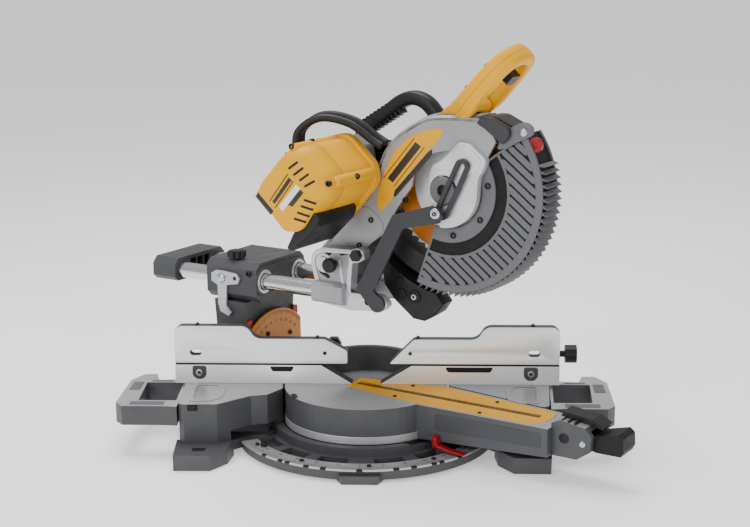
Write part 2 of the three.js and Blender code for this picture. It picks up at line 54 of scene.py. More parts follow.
camera = bpy.data.objects.new("camera", bpy.data.cameras.new("camera"))
bpy.context.collection.objects.link(camera)
yaw, pitch, roll = (math.radians(a) for a in (-2.80, 12.78, -0.48))
forward = Vector((math.sin(yaw) * math.cos(pitch), math.cos(yaw) * math.cos(pitch), -math.sin(pitch)))
level = Vector((math.cos(yaw), -math.sin(yaw), 0))
upright = level.cross(forward)
right = math.cos(roll) * level + math.sin(roll) * upright
above = math.cos(roll) * upright - math.sin(roll) * level
turn = Matrix((right, above, -forward)).transposed().to_4x4()
camera.matrix_world = Matrix.Translation((0.1207, -2.1617, 0.7671)) @ turn
camera.data.lens = 69.98
camera.data.sensor_width = 36.0
camera.data.clip_end = 60.0
bpy.context.scene.camera = camera


# ---- Materials ----


def colour(value):
    """A hex colour as linear RGBA."""
    parts = [(value >> shift & 255) / 255 for shift in (16, 8, 0)]
    return tuple(p / 12.92 if p <= 0.04045 else ((p + 0.055) / 1.055) ** 2.4 for p in parts) + (1.0,)


def toned(rgba, factor):
    """A colour made darker or lighter."""
    return tuple(min(1, v * factor) for v in rgba[:3]) + (1,)


class Maker:
    """Short calls for building one node material."""

    def __init__(self, name):
        self.material = bpy.data.materials.new(name)
        self.material.use_nodes = True
        self.tree = self.material.node_tree
        self.shader = self.tree.nodes["Principled BSDF"]
        self.place = self.tree.nodes.new("ShaderNodeTexCoord").outputs["Object"]

    def node(self, kind, **settings):
        made = self.tree.nodes.new("ShaderNode" + kind)
        for key, value in settings.items():
            if isinstance(value, bpy.types.NodeSocket):
                self.tree.links.new(value, made.inputs[key.replace("_", " ")])
            elif key.replace("_", " ") in made.inputs:
                made.inputs[key.replace("_", " ")].default_value = value
            else:
                setattr(made, key, value)
        return made

    def link(self, output, name):
        self.tree.links.new(output, self.shader.inputs[name])

    def scaled(self, scale):
        mapping = self.node("Mapping")
        self.tree.links.new(self.place, mapping.inputs["Vector"])
        mapping.inputs["Scale"].default_value = scale
        return mapping.outputs["Vector"]

    def noise(self, scale, detail=3.0, stretch=(1, 1, 1)):
        return self.node("TexNoise", Vector=self.scaled(stretch), Scale=scale, Detail=detail).outputs["Fac"]

    def ramp(self, fac, stops):
        made = self.node("ValToRGB", Fac=fac)
        ramp = made.color_ramp
        while len(ramp.elements) < len(stops):
            ramp.elements.new(0.5)
        for element, (position, value) in zip(ramp.elements, stops):
            element.position = position
            element.color = value if isinstance(value, tuple) else (value, value, value, 1)
        return made.outputs["Color"]

    def mix(self, fac, a, b):
        made = self.tree.nodes.new("ShaderNodeMix")
        made.data_type = "RGBA"
        for socket, value in ((made.inputs[0], fac), (made.inputs[6], a), (made.inputs[7], b)):
            if isinstance(value, bpy.types.NodeSocket):
                self.tree.links.new(value, socket)
            else:
                socket.default_value = value
        return made.outputs[2]

    def maths(self, operation, a, b=0.0):
        made = self.tree.nodes.new("ShaderNodeMath")
        made.operation = operation
        for socket, value in ((made.inputs[0], a), (made.inputs[1], b)):
            if isinstance(value, bpy.types.NodeSocket):
                self.tree.links.new(value, socket)
            else:
                socket.default_value = value
        return made.outputs[0]

    def bump(self, height, strength, distance=0.001):
        made = self.node("Bump", Height=height, Strength=strength, Distance=distance)
        self.link(made.outputs["Normal"], "Normal")


def textured(name, base, rough, metal=0.0, grain=900.0, depth=0.15, tint=0.12, gloss=0.32):
    """A moulded or cast surface: mottled colour, uneven gloss and a fine grain."""
    m = Maker(name)
    c = colour(base)
    cloud = m.noise(14.0, 4.0)
    m.link(m.ramp(cloud, [(0.3, toned(c, 1 - tint)), (0.7, toned(c, 1 + tint))]), "Base Color")
    fine = m.noise(grain, 2.0)
    rough_map = m.ramp(m.noise(60.0, 5.0), [(0.3, max(0.05, rough - 0.07)), (0.7, min(1.0, rough + 0.07))])
    m.link(rough_map, "Roughness")
    m.shader.inputs["Metallic"].default_value = metal
    m.shader.inputs["Specular IOR Level"].default_value = gloss
    m.bump(fine, depth, 0.0006)
    return m.material


def brushed(name, base, rough, stretch, metal=0.9, strength=0.12):
    """Metal with straight tool marks along one axis of the object's own frame."""
    m = Maker(name)
    c = colour(base)
    lines = m.noise(90.0, 6.0, stretch)
    m.link(m.ramp(lines, [(0.35, toned(c, 0.86)), (0.65, toned(c, 1.1))]), "Base Color")
    m.link(m.ramp(lines, [(0.3, rough - 0.06), (0.7, rough + 0.1)]), "Roughness")
    m.shader.inputs["Metallic"].default_value = metal
    m.bump(lines, strength, 0.0003)
    return m.material


def two_faced(name, axis, sense, level_at, painted, machined, rings=False):
    """Painted casting whose face towards one way, beyond a level, is machined bright."""
    m = Maker(name)
    coordinates = m.node("TexCoord")
    normal = m.node("SeparateXYZ", Vector=coordinates.outputs["Normal"]).outputs[axis]
    place = m.node("SeparateXYZ", Vector=m.place).outputs[axis]
    facing = m.maths("GREATER_THAN", m.maths("MULTIPLY", normal, sense), 0.85)
    beyond = m.maths("GREATER_THAN", m.maths("MULTIPLY", place, sense), level_at)
    bright = m.maths("MULTIPLY", facing, beyond)
    if rings:
        wave = m.node("TexWave", Vector=m.place, wave_type="RINGS", rings_direction="Z", Scale=420.0,
                      Distortion=1.5)
        lines = wave.outputs["Fac"]
    else:
        lines = m.noise(90.0, 6.0, (1.0, 40.0, 40.0))
    p, q = colour(painted), colour(machined)
    paint = m.ramp(m.noise(16.0, 4.0), [(0.3, toned(p, 0.9)), (0.7, toned(p, 1.1))])
    metal = m.ramp(lines, [(0.2, toned(q, 0.9)), (0.8, toned(q, 1.06))])
    m.link(m.mix(bright, paint, metal), "Base Color")
    m.link(m.maths("MULTIPLY", bright, 0.5), "Metallic")
    rough_paint = m.ramp(m.noise(70.0, 5.0), [(0.3, 0.42), (0.7, 0.58)])
    rough_metal = m.ramp(lines, [(0.2, 0.27), (0.8, 0.36)])
    m.link(m.mix(bright, rough_paint, rough_metal), "Roughness")
    grain = m.noise(1100.0, 2.0)
    m.bump(m.mix(bright, grain, m.maths("MULTIPLY", lines, 0.25)), 0.16, 0.0006)
    return m.material


def blade_steel():
    """Polished disc with a printed ring towards the teeth."""
    m = Maker("blade_steel")
    centre = Vector((HEAD @ Vector((0, ARBOR[0], ARBOR[1])))) * 0.001
    offset = m.node("VectorMath", operation="SUBTRACT")
    m.tree.links.new(m.place, offset.inputs[0])
    offset.inputs[1].default_value = centre
    length = m.node("VectorMath", operation="LENGTH")
    m.tree.links.new(offset.outputs[0], length.inputs[0])
    radius = length.outputs["Value"]
    # The near-white steel colour, only 0.4 metallic, is partly painted reflection: it copies the white
    # studio mirrored in the polished blade.
    steel = m.ramp(m.noise(30.0, 2.0), [(0.3, colour(0xDCDEE0)), (0.7, colour(0xF0F1F2))])
    print_colour = m.ramp(m.noise(40.0, 3.0), [(0.3, colour(0xB86205)), (0.7, colour(0xCC7409))])
    ring = m.maths("MULTIPLY", m.maths("GREATER_THAN", radius, 0.068), m.maths("LESS_THAN", radius, 0.1015))
    m.link(m.mix(ring, steel, print_colour), "Base Color")
    m.link(m.maths("SUBTRACT", 0.4, m.maths("MULTIPLY", ring, 0.3)), "Metallic")
    m.link(m.ramp(m.noise(60.0, 2.0), [(0.3, 0.36), (0.7, 0.46)]), "Roughness")
    return m.material


DARK_CAST = textured("dark_cast", 0x404144, 0.5, 0.1, 1100.0, 0.25)
DARK_TOP = two_faced("dark_cast_machined_top", 2, 1.0, 0.0835, 0x404144, 0x9FA0A2)
TABLE_TOP = two_faced("table_machined_top", 2, 1.0, 0.0835, 0x404144, 0xA4A5A7, rings=True)
HANDLE_TOP = two_faced("handle_bright_top", 2, 1.0, 0.07, 0x404144, 0xB4B5B7)
FENCE = two_faced("fence_machined_front", 1, -1.0, -0.0045, 0x38393B, 0xE9EAEB)
LIGHT_CAST = textured("light_cast", 0x939497, 0.4, 0.3, 1000.0, 0.2)
BRIGHT_CAST = textured("bright_cast", 0xC6C7CA, 0.34, 0.5, 800.0, 0.1)
HUB_GREY = textured("hub_grey", 0x5E5F62, 0.38, 0.2, 900.0, 0.12)
YELLOW = textured("yellow_plastic", 0xDE9F00, 0.42, 0.0, 1300.0, 0.1, 0.06, 0.2)
YELLOW_PLATE = textured("yellow_plate", 0xE0A100, 0.36, 0.0, 1300.0, 0.06, 0.05, 0.2)
YELLOW_PRINT = textured("yellow_print", 0xDC9E00, 0.32, 0.0, 400.0, 0.02, 0.03, 0.2)
SCALE_YELLOW = textured("scale_amber", 0xC97A06, 0.34, 0.0, 600.0, 0.04, 0.05)
# Dark print; the same colour is also painted shade along the kerf slot.
DARK_PRINT_AND_SHADE = textured("dark_print_and_shade", 0x2B2925, 0.35, 0.0, 400.0, 0.02, 0.05)
BLACK = textured("black_plastic", 0x141416, 0.45, 0.0, 1200.0, 0.2, 0.15)
SOFT_BLACK = textured("soft_black", 0x0C0C0E, 0.6, 0.0, 700.0, 0.3, 0.15)
RUBBER = textured("rubber", 0x161618, 0.48, 0.0, 900.0, 0.25, 0.15)
GUARD_GREY = textured("guard_grey", 0x5D5E61, 0.36, 0.0, 1300.0, 0.08, 0.06)
# Near-black grey; on the guard's web and rim band it is painted shade for the gaps between ribs and teeth.
GUARD_DARK = textured("guard_dark", 0x19191B, 0.55, 0.0, 1300.0, 0.08, 0.06, 0.18)
LINK_GREY = textured("link_grey", 0x323336, 0.48, 0.1, 1200.0, 0.15, 0.06)
RED = textured("red_plastic", 0x8E0D18, 0.32, 0.0, 900.0, 0.05, 0.08)
STEEL = brushed("plain_steel", 0xB9BBBE, 0.26, (1, 1, 1))
CHROME = brushed("chromed_rail", 0xD0D2D4, 0.16, (30, 30, 30), 1.0, 0.03)
MACHINED = brushed("machined_plate", 0xB4B5B7, 0.32, (1, 30, 30), 0.6)
STAMPED = textured("stamped_zinc", 0xB0B2B5, 0.32, 0.7, 500.0, 0.08, 0.08)
COPPER = textured("copper_winding", 0x9A5426, 0.35, 0.8, 600.0, 0.3)
BLADE = blade_steel()

# ---- Mesh tools; shapes are drawn in millimetres in one of the three frames ----


def soften(obj, bevel, segments, angle):
    """Rounded sharp edges, as a modifier."""
    modifier = obj.modifiers.new("edges", "BEVEL")
    modifier.width = bevel * 0.001
    modifier.segments = segments
    modifier.limit_method = "ANGLE"
    modifier.angle_limit = math.radians(angle)
    modifier.harden_normals = True


def finish_object(name, mesh, material, body, slot, bevel=0.0, segments=3, angle=32, replaced=()):
    """The mesh as a visible piece with its material and moving body; the slot argument is not used."""
    mesh.materials.clear()
    mesh.materials.append(material)
    mesh.polygons.foreach_set("use_smooth", [True] * len(mesh.polygons))
    mesh.set_sharp_from_angle(angle=math.radians(angle))
    obj = bpy.data.objects.new(name, mesh)
    bpy.context.collection.objects.link(obj)
    if bevel:
        soften(obj, bevel, segments, angle)
    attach(obj, body)
    if replaced:
        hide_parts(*replaced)
    return obj


def from_bmesh(bm, place):
    bm.transform(TO_METRES @ place)
    bmesh.ops.recalc_face_normals(bm, faces=bm.faces)
    mesh = bpy.data.meshes.new("shape")
    bm.to_mesh(mesh)
    bm.free()
    return mesh


def rounded(points, radius, steps=5):
    """A closed outline with its corners rounded off."""
    out = []
    count = len(points)
    for i in range(count):
        before, here, after = (Vector(points[(i + k) % count]) for k in (-1, 0, 1))
        reach = min(radius, (before - here).length * 0.45, (after - here).length * 0.45)
        a = here + (before - here).normalized() * reach
        b = here + (after - here).normalized() * reach
        for k in range(steps + 1):
            t = k / steps
            p = a * (1 - t) ** 2 + here * 2 * t * (1 - t) + b * t**2
            out.append((p.x, p.y))
    return out


def ring(cx, cy, r, steps=40):
    return [(cx + r * math.cos(2 * math.pi * i / steps), cy + r * math.sin(2 * math.pi * i / steps))
            for i in range(steps)]


def polar(r, angle):
    """A point about the arbor: 0 degrees is forwards, 90 is up, in the level head."""
    a = math.radians(angle)
    return (ARBOR[0] - r * math.cos(a), ARBOR[1] + r * math.sin(a))


def sector(r0, r1, a0, a1, steps=40):
    outer = [polar(r1, a0 + (a1 - a0) * i / steps) for i in range(steps + 1)]
    inner = [polar(r0, a1 + (a0 - a1) * i / steps) for i in range(steps + 1)]
    return outer + inner


def oblong(a, b, r, steps=8):
    """The outline of a slot between two centres."""
    direction = math.atan2(b[1] - a[1], b[0] - a[0])
    out = []
    for centre, start in ((b, direction - math.pi / 2), (a, direction + math.pi / 2)):
        for i in range(steps + 1):
            t = start + math.pi * i / steps
            out.append((centre[0] + r * math.cos(t), centre[1] + r * math.sin(t)))
    return out


def slab_mesh(outline, axis, a, b, place, holes=(), edge=0.8, rounds=2):
    """A flat outline given thickness between a and b along an axis, with rounded edges and holes."""
    curve = bpy.data.curves.new("outline", "CURVE")
    curve.dimensions = "2D"
    curve.fill_mode = "BOTH"
    for points in (outline, *holes):
        spline = curve.splines.new("POLY")
        spline.points.add(len(points) - 1)
        for point, (u, v) in zip(spline.points, points):
            point.co = (u, v, 0, 1)
        spline.use_cyclic_u = True
    half = abs(b - a) / 2
    edge = min(edge, half * 0.95)
    curve.extrude = half - edge
    curve.bevel_depth = edge
    curve.bevel_resolution = rounds
    curve.offset = -edge
    holder = bpy.data.objects.new("outline", curve)
    bpy.context.collection.objects.link(holder)
    graph = bpy.context.evaluated_depsgraph_get()
    mesh = bpy.data.meshes.new_from_object(holder.evaluated_get(graph))
    bpy.data.objects.remove(holder)
    middle = (a + b) / 2
    swap = {
        "X": Matrix(((0, 0, 1, middle), (1, 0, 0, 0), (0, 1, 0, 0), (0, 0, 0, 1))),
        "Y": Matrix(((1, 0, 0, 0), (0, 0, 1, middle), (0, 1, 0, 0), (0, 0, 0, 1))),
        "Z": Matrix(((1, 0, 0, 0), (0, 1, 0, 0), (0, 0, 1, middle), (0, 0, 0, 1))),
    }[axis]
    bm = bmesh.new()
    bm.from_mesh(mesh)
    bpy.data.meshes.remove(mesh)
    bmesh.ops.remove_doubles(bm, verts=bm.verts, dist=0.002)
    bm.transform(swap)
    return from_bmesh(bm, place)


def slab(name, outline, axis, a, b, place, material, body, slot, holes=(), edge=0.8, rounds=2, **more):
    return finish_object(name, slab_mesh(outline, axis, a, b, place, holes, edge, rounds), material, body,
                         slot, **more)


def turned_bmesh(profile, origin, direction, steps=48):
    """(radius, distance) pairs turned about a line."""
    bm = bmesh.new()
    axis = Vector(direction).normalized()
    side = axis.orthogonal().normalized()
    other = axis.cross(side)
    rings = []
    for radius, along in profile:
        centre = Vector(origin) + axis * along
        if radius < 1e-6:
            rings.append([bm.verts.new(centre)])
        else:
            loop = []
            for i in range(steps):
                t = 2 * math.pi * i / steps
                spot = centre + side * (radius * math.cos(t)) + other * (radius * math.sin(t))
                loop.append(bm.verts.new(spot))
            rings.append(loop)
    for a, b in zip(rings, rings[1:]):
        for i in range(steps):
            k = (i + 1) % steps
            corners = [a[i % len(a)], a[k % len(a)], b[k % len(b)], b[i % len(b)]]
            unique = list(dict.fromkeys(corners))
            if len(unique) > 2:
                bm.faces.new(unique)
    return bm


def turned(name, profile, origin, direction, place, material, body, slot, steps=48, **more):
    return finish_object(name, from_bmesh(turned_bmesh(profile, origin, direction, steps), place), material,
                         body, slot, **more)


def joined(meshes):
    bm = bmesh.new()
    for mesh in meshes:
        bm.from_mesh(mesh)
        bpy.data.meshes.remove(mesh)
    mesh = bpy.data.meshes.new("joined")
    bm.to_mesh(mesh)
    bm.free()
    return mesh


def screw_mesh(origin, direction, r, place):
    """A socket-head screw: rounded head with a round recess."""
    axis = Vector(direction).normalized()
    head = [(0, -0.6 * r), (r, -0.6 * r), (r, 0.35 * r), (0.88 * r, 0.55 * r), (0.56 * r, 0.58 * r)]
    bm = turned_bmesh(head + [(0.5 * r, 0.5 * r), (0.48 * r, -0.2 * r), (0, -0.25 * r)], origin, axis, 24)
    return from_bmesh(bm, place)


def screws(name, spots, r, place, material, body, slot):
    return finish_object(name, joined([screw_mesh(o, d, r, place) for o, d in spots]), material, body, slot)


def tube_points(points, count):
    """A smooth path through the points, evenly sampled per span."""
    path = [Vector(p) for p in points]
    path = [path[0] * 2 - path[1]] + path + [path[-1] * 2 - path[-2]]
    out = []
    for i in range(1, len(path) - 2):
        p0, p1, p2, p3 = path[i - 1 : i + 3]
        for k in range(count):
            t = k / count
            square = 2 * p0 - 5 * p1 + 4 * p2 - p3
            cube = 3 * p1 - p0 - 3 * p2 + p3
            out.append(0.5 * (2 * p1 + (p2 - p0) * t + square * t**2 + cube * t**3))
    return out + [path[-2]]


def skin(bm, loops):
    """Walls between equal loops of vertices, and the two closed ends."""
    for a, b in zip(loops, loops[1:]):
        for i in range(len(a)):
            k = (i + 1) % len(a)
            bm.faces.new((a[i], a[k], b[k], b[i]))
    bm.faces.new(list(reversed(loops[0])))
    bm.faces.new(loops[-1])


def swept_mesh(points, section, place, count=8, side=(1, 0, 0), grow=None):
    """A closed section (list of (a, b)) carried along a smooth path; grow(t) scales it on the way."""
    path = tube_points(points, count)
    bm = bmesh.new()
    loops = []
    for i, here in enumerate(path):
        tangent = (path[min(i + 1, len(path) - 1)] - path[max(i - 1, 0)]).normalized()
        across = (Vector(side) - tangent * Vector(side).dot(tangent)).normalized()
        other = tangent.cross(across)
        size = grow(i / (len(path) - 1)) if grow else 1.0
        loops.append([bm.verts.new(here + across * (a * size) + other * (b * size)) for a, b in section])
    skin(bm, loops)
    return from_bmesh(bm, place)


def cut_by(mesh, cutters):
    """The mesh with closed cutter meshes taken out of it."""
    target = bpy.data.objects.new("target", mesh)
    tool = bpy.data.objects.new("tool", joined(cutters))
    for obj in (target, tool):
        bpy.context.collection.objects.link(obj)
    modifier = target.modifiers.new("cut", "BOOLEAN")
    modifier.operation = "DIFFERENCE"
    modifier.object = tool
    modifier.solver = "EXACT"
    graph = bpy.context.evaluated_depsgraph_get()
    result = bpy.data.meshes.new_from_object(target.evaluated_get(graph))
    for obj in (target, tool):
        bpy.data.objects.remove(obj)
    return result


def block_mesh(lo, hi, place, tilt=None):
    bm = bmesh.new()
    bmesh.ops.create_cube(bm, size=1.0)
    size = Vector(hi) - Vector(lo)
    bm.transform(Matrix.Diagonal((*size, 1)))
    if tilt is not None:
        bm.transform(tilt)
    bm.transform(Matrix.Translation((Vector(hi) + Vector(lo)) / 2))
    return from_bmesh(bm, place)


def lettering(name, text, size, place_at):
    """Scale numbers as thin raised print."""
    curve = bpy.data.curves.new(name, "FONT")
    curve.body = text
    curve.size = size
    curve.extrude = 0.05
    curve.align_x = "CENTER"
    curve.align_y = "CENTER"
    holder = bpy.data.objects.new(name, curve)
    bpy.context.collection.objects.link(holder)
    graph = bpy.context.evaluated_depsgraph_get()
    mesh = bpy.data.meshes.new_from_object(holder.evaluated_get(graph))
    bpy.data.objects.remove(holder)
    mesh.transform(TO_METRES @ place_at)
    return mesh


def keep(node, material, bevel=0.0, segments=3, angle=35):
    """A CAD node that stays, with soft edges and its own material."""
    obj = nodes[node]
    obj.data.materials.clear()
    obj.data.materials.append(material)
    obj.data.polygons.foreach_set("use_smooth", [True] * len(obj.data.polygons))
    obj.data.set_sharp_from_angle(angle=math.radians(angle))
    if bevel:
        soften(obj, bevel, segments, angle)


KEPT = {
    "base_casting": (DARK_TOP, 1.6), "detent_plate": (MACHINED, 0.5), "left_end_handle": (HANDLE_TOP, 5.0),
    "right_end_handle": (HANDLE_TOP, 5.0), "fixed_fence": (FENCE, 0.8), "center_pivot_bolt": (STEEL, 0.5),
    "left_sliding_fence": (FENCE, 1.2), "right_sliding_fence": (FENCE, 1.2), "left_fence_knob": (BLACK, 1.0),
    "right_fence_knob": (BLACK, 1.0), "turntable": (TABLE_TOP, 1.8), "kerf_plate": (YELLOW_PLATE, 0.8),
    "miter_pointer": (RED, 0.4), "miter_lock_handle": (SOFT_BLACK, 5.0), "miter_latch_lever": (BLACK, 2.0),
    "miter_lock_rod": (STEEL, 0.5), "bevel_pivot_shaft": (STEEL, 0.5), "bevel_scale": (SCALE_YELLOW, 0.8),
    "bevel_housing": (DARK_CAST, 3.0), "left_bevel_pointer": (RED, 0.8), "right_bevel_pointer": (RED, 0.8),
    "left_rail_bushing": (STEEL, 0.3), "right_rail_bushing": (STEEL, 0.3), "rail_lock_knob": (BLACK, 0.8),
    "slide_lock_lever": (STAMPED, 0.6), "bevel_lock_lever": (BLACK, 3.0), "left_rail": (CHROME, 0.6),
    "right_rail": (CHROME, 0.6), "rail_end_cap": (DARK_CAST, 4.0), "rail_bracket": (LIGHT_CAST, 1.5),
    "lock_down_pin": (BLACK, 1.0), "plunge_shaft": (STEEL, 0.5), "plunge_spring": (STEEL, 0.5),
    "depth_stop_bolt": (BLACK, 0.6), "head_casting": (LIGHT_CAST, 1.2), "guard_hub_plate": (BRIGHT_CAST,
                                                                                            1.2),
    "front_shroud": (GUARD_DARK, 2.0), "motor_housing": (YELLOW, 4.0), "motor_end_cap": (YELLOW, 4.0),
    "motor_base": (BLACK, 2.5), "stator": (COPPER, 0.6), "belt_cover": (DARK_CAST,
                                                                        2.5), "drive_belt": (RUBBER, 0.3),
    "carry_handle": (BLACK, 0.0), "handle_upper_shell": (YELLOW, 4.0), "handle_lower_shell": (YELLOW, 4.0),
    "dust_chute": (BLACK, 2.5), "head_cable": (RUBBER, 0.0), "rotor": (STEEL, 0.4), "spindle": (STEEL, 0.4),
    "outer_flange": (STEEL, 0.4), "arbor_bolt": (HUB_GREY, 1.5), "blade": (BLADE, 0.0), "trigger": (BLACK,
                                                                                                    1.2),
    "lock_off_button": (BLACK, 0.8), "spindle_lock_button": (BLACK, 0.8), "lower_guard": (GUARD_GREY, 0.0),
    "guard_slot_bar": (LINK_GREY, 0.8), "guard_roller": (RED, 0.5), "guard_link": (LINK_GREY, 1.0),
}
for node, (material, bevel) in KEPT.items():
    keep(node, material, bevel)

# ---- Power cable: two parallel leads from the motor over to the saw arm ----

CABLE_ROUTE = [
    (-80, -62, 400.8), (-78, -66, 418), (-72, -86, 438), (-60, -122, 430), (-46, -146, 394), (-40, -154,
                                                                                              352),
    (-38.5, -158, 336),
]
CABLE_DIAMETER = 0.012


def lead(name, shift, replaced):
    """One lead along the route, a round curve; the first stands for the CAD cable."""
    path = [TO_METRES @ HEAD @ (p + Vector(shift)) for p in tube_points(CABLE_ROUTE, 6)]
    curve = bpy.data.curves.new(name, "CURVE")
    curve.dimensions = "3D"
    curve.bevel_depth = CABLE_DIAMETER / 2
    curve.bevel_resolution = 6
    curve.use_fill_caps = True
    spline = curve.splines.new("POLY")
    spline.points.add(len(path) - 1)
    for point, co in zip(spline.points, path):
        point.co = (*co, 1)
    spline.use_smooth = True
    curve.materials.append(RUBBER)
    obj = bpy.data.objects.new(name, curve)
    bpy.context.collection.objects.link(obj)
    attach(obj, "head")
    if replaced:
        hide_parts("head_cable")


lead("motor_lead_a", (0, 0, 0), True)
lead("motor_lead_b", (12.4, -3, 2), False)

# ---- Lower guard: ribbed sides, plain hub ring, toothed rim ----

GUARD_LOW, GUARD_HIGH = -157, -11
SLOT_IN, SLOT_OUT = 21, 26.4


def guard_side(side, tag):
    """One side of the guard; side is -1 for the operator's left face."""
    lo, hi = sorted((side * 21.5, side * 22.6))
    # The dark web behind the ribs is painted shade for the gaps between them.
    web = slab_mesh(sector(76, 146, GUARD_LOW, GUARD_HIGH), "X", lo, hi, HEAD, edge=0.3, rounds=1)
    finish_object(f"guard_web_painted_shade_{tag}", web, GUARD_DARK, "guard", "grey_plastic")
    lo, hi = sorted((side * 21.5, side * 25.6))
    hub_ring = slab_mesh(sector(56.2, 78, GUARD_LOW, 36, 90), "X", lo, hi, HEAD, edge=1.6, rounds=3)
    rim = slab_mesh(sector(140, 151, GUARD_LOW, GUARD_HIGH, 90), "X", lo, hi, HEAD, edge=1.6, rounds=3)
    inner = slab_mesh(sector(96, 100.5, GUARD_LOW, GUARD_HIGH, 80), "X", lo, hi, HEAD, edge=1.2, rounds=2)
    ends = [
        slab_mesh(oblong(polar(62, a), polar(146, a), 1.7), "X", lo, hi, HEAD, edge=1.0)
        for a in (GUARD_LOW + 0.8, GUARD_HIGH - 0.8)
    ]
    finish_object(f"guard_frame_{tag}", joined([hub_ring, rim, inner, *ends]), GUARD_GREY, "guard",
                  "grey_plastic")
    lo, hi = sorted((side * 22.0, side * 25.2))
    ribs = [slab_mesh(oblong(a, b, 4.6), "X", lo, hi, HEAD, edge=1.4, rounds=2) for a, b in rib_lines()]
    finish_object(f"guard_ribs_{tag}", joined(ribs), GUARD_GREY, "guard", "grey_plastic")


def rib_lines(spacing=11.4, tilt=-85.0, inner=100.0, outer=141.0):
    """Parallel chords between the inner band and the rim, kept inside the guard's sweep."""
    along = Vector((-math.cos(math.radians(tilt)), math.sin(math.radians(tilt))))
    across = Vector((-along.y, along.x))
    centre = Vector(ARBOR)
    lines = []
    for k in range(-12, 13):
        offset = k * spacing
        if abs(offset) >= outer - 4:
            continue
        run = []
        for step in range(-142, 143):
            p = centre + across * offset + along * step
            d = p - centre
            angle = math.degrees(math.atan2(d.y, -d.x))
            inside = inner < d.length < outer - 2 and GUARD_LOW + 2.5 < angle < GUARD_HIGH - 2.5
            if inside:
                run.append(p)
            if run and (not inside or step == 142):
                if len(run) > 9:
                    lines.append((tuple(run[0]), tuple(run[-1])))
                run = []
    return lines


def guard_teeth():
    """Ladder bars with pointed tips across the whole rim."""
    meshes = []
    angle = GUARD_LOW + 3.0
    while angle < GUARD_HIGH - 16:
        a, b = polar(143, angle), polar(151.5, angle + 0.9)
        c, d, e = polar(158.5, angle - 1.3), polar(152, angle - 0.5), polar(143, angle - 1.0)
        meshes.append(slab_mesh([a, b, c, d, e], "X", -23, 23, HEAD, edge=0.5, rounds=1))
        angle += 3.65
    return meshes


guard_side(-1, "left")
guard_side(1, "right")
# A dark band inside the rim: painted shade for the gaps between the guard's teeth.
rim_shade = sector(143.5, 148, GUARD_LOW, GUARD_HIGH, 80)
slab("guard_rim_painted_shade", rim_shade, "X", -22, 22, HEAD, GUARD_DARK, "guard", "grey_plastic", edge=0.5)
finish_object("guard_teeth", joined(guard_teeth()), GUARD_GREY, "guard", "grey_plastic",
              replaced=("lower_guard",))
guard_screws = [((-25.4, *polar(67, a)), (-1, 0, 0)) for a in (-38, -83, -128)]
screws("guard_ring_screws", guard_screws, 4.6, HEAD, BLACK, "guard", "black_plastic")
clip = [(-288, 206), (-306, 214), (-324, 213), (-343, 207), (-352, 198), (-352, 186), (-343, 181),
        (-325, 189), (-300, 197)]
slab("guard_front_clip", rounded(clip, 6), "X", -30, -26.0, HEAD, GUARD_GREY, "guard", "grey_plastic",
     edge=1.5, rounds=3)
dome = [(0, 3.4), (3.2, 3.0), (5.6, 1.6), (6.4, 0), (6.4, -3), (0, -3)]
turned("guard_clip_rivet", dome, (-30, -337, 194), (-1, 0, 0), HEAD, STEEL, "guard", "steel", 32)
roller = [(0, -4), (9.6, -4), (10.6, -3), (10.6, 3), (9.6, 4), (5, 4), (4.2, 2.4), (0, 2.4)]
turned("guard_red_roller", roller, (-19, -333, 172), (-1, 0, 0), HEAD, RED, "guard", "red_plastic", 40,
       replaced=("guard_roller",))

# ---- Hub cover over the blade's centre ----

hub_outline = [polar(54.5, a) for a in range(-143, -46, 4)] + [
    (-241.7, 196.5), (-258.9, 199.9), (-269.4, 205.4), (-267.0, 238.2), (-255.0, 253.3), (-223.0, 252.1),
    (-199.9, 259.8), (-179.1, 249.5), (-160.3, 227.4),
]
slab("hub_cover_plate", rounded(hub_outline, 5, 3), "X", -37, -31.4, HEAD, BRIGHT_CAST, "head",
     "light_casting",
     holes=[ring(*ARBOR, 21.8, 48)], edge=1.4, rounds=3, replaced=("guard_hub_plate",))
slab("hub_cover_neck", rounded(hub_outline, 5, 3), "X", -31.6, -24, HEAD, BRIGHT_CAST, "head",
     "light_casting",
     holes=[ring(*ARBOR, 21.8, 48)], edge=0.4)
raised = [(-198, 256), (-250, 250), (-262, 237), (-264, 210), (-248, 203), (-228, 214), (-214, 238)]
slab("hub_cover_pad", rounded(raised, 6), "X", -38.2, -36.8, HEAD, BRIGHT_CAST, "head", "light_casting",
     edge=0.6)
cap = [(20.5, -10), (20.5, 0.6), (19.4, 1.8), (9.6, 2.2), (8.4, 1.2), (8.4, -4), (0, -4)]
turned("arbor_cap", cap, (-38, *ARBOR), (-1, 0, 0), HEAD, HUB_GREY, "arbor", "steel", 48,
       replaced=("arbor_bolt",))
socket = [(0, 0.6), (6.6, 0.6), (8.0, 0.0), (8.3, -3.0), (0, -3.0)]
turned("arbor_cap_socket", socket, (-36, *ARBOR), (-1, 0, 0), HEAD, BLACK, "arbor", "black_plastic", 6)

# ---- Upper guard: printed decal, seams and screws ----

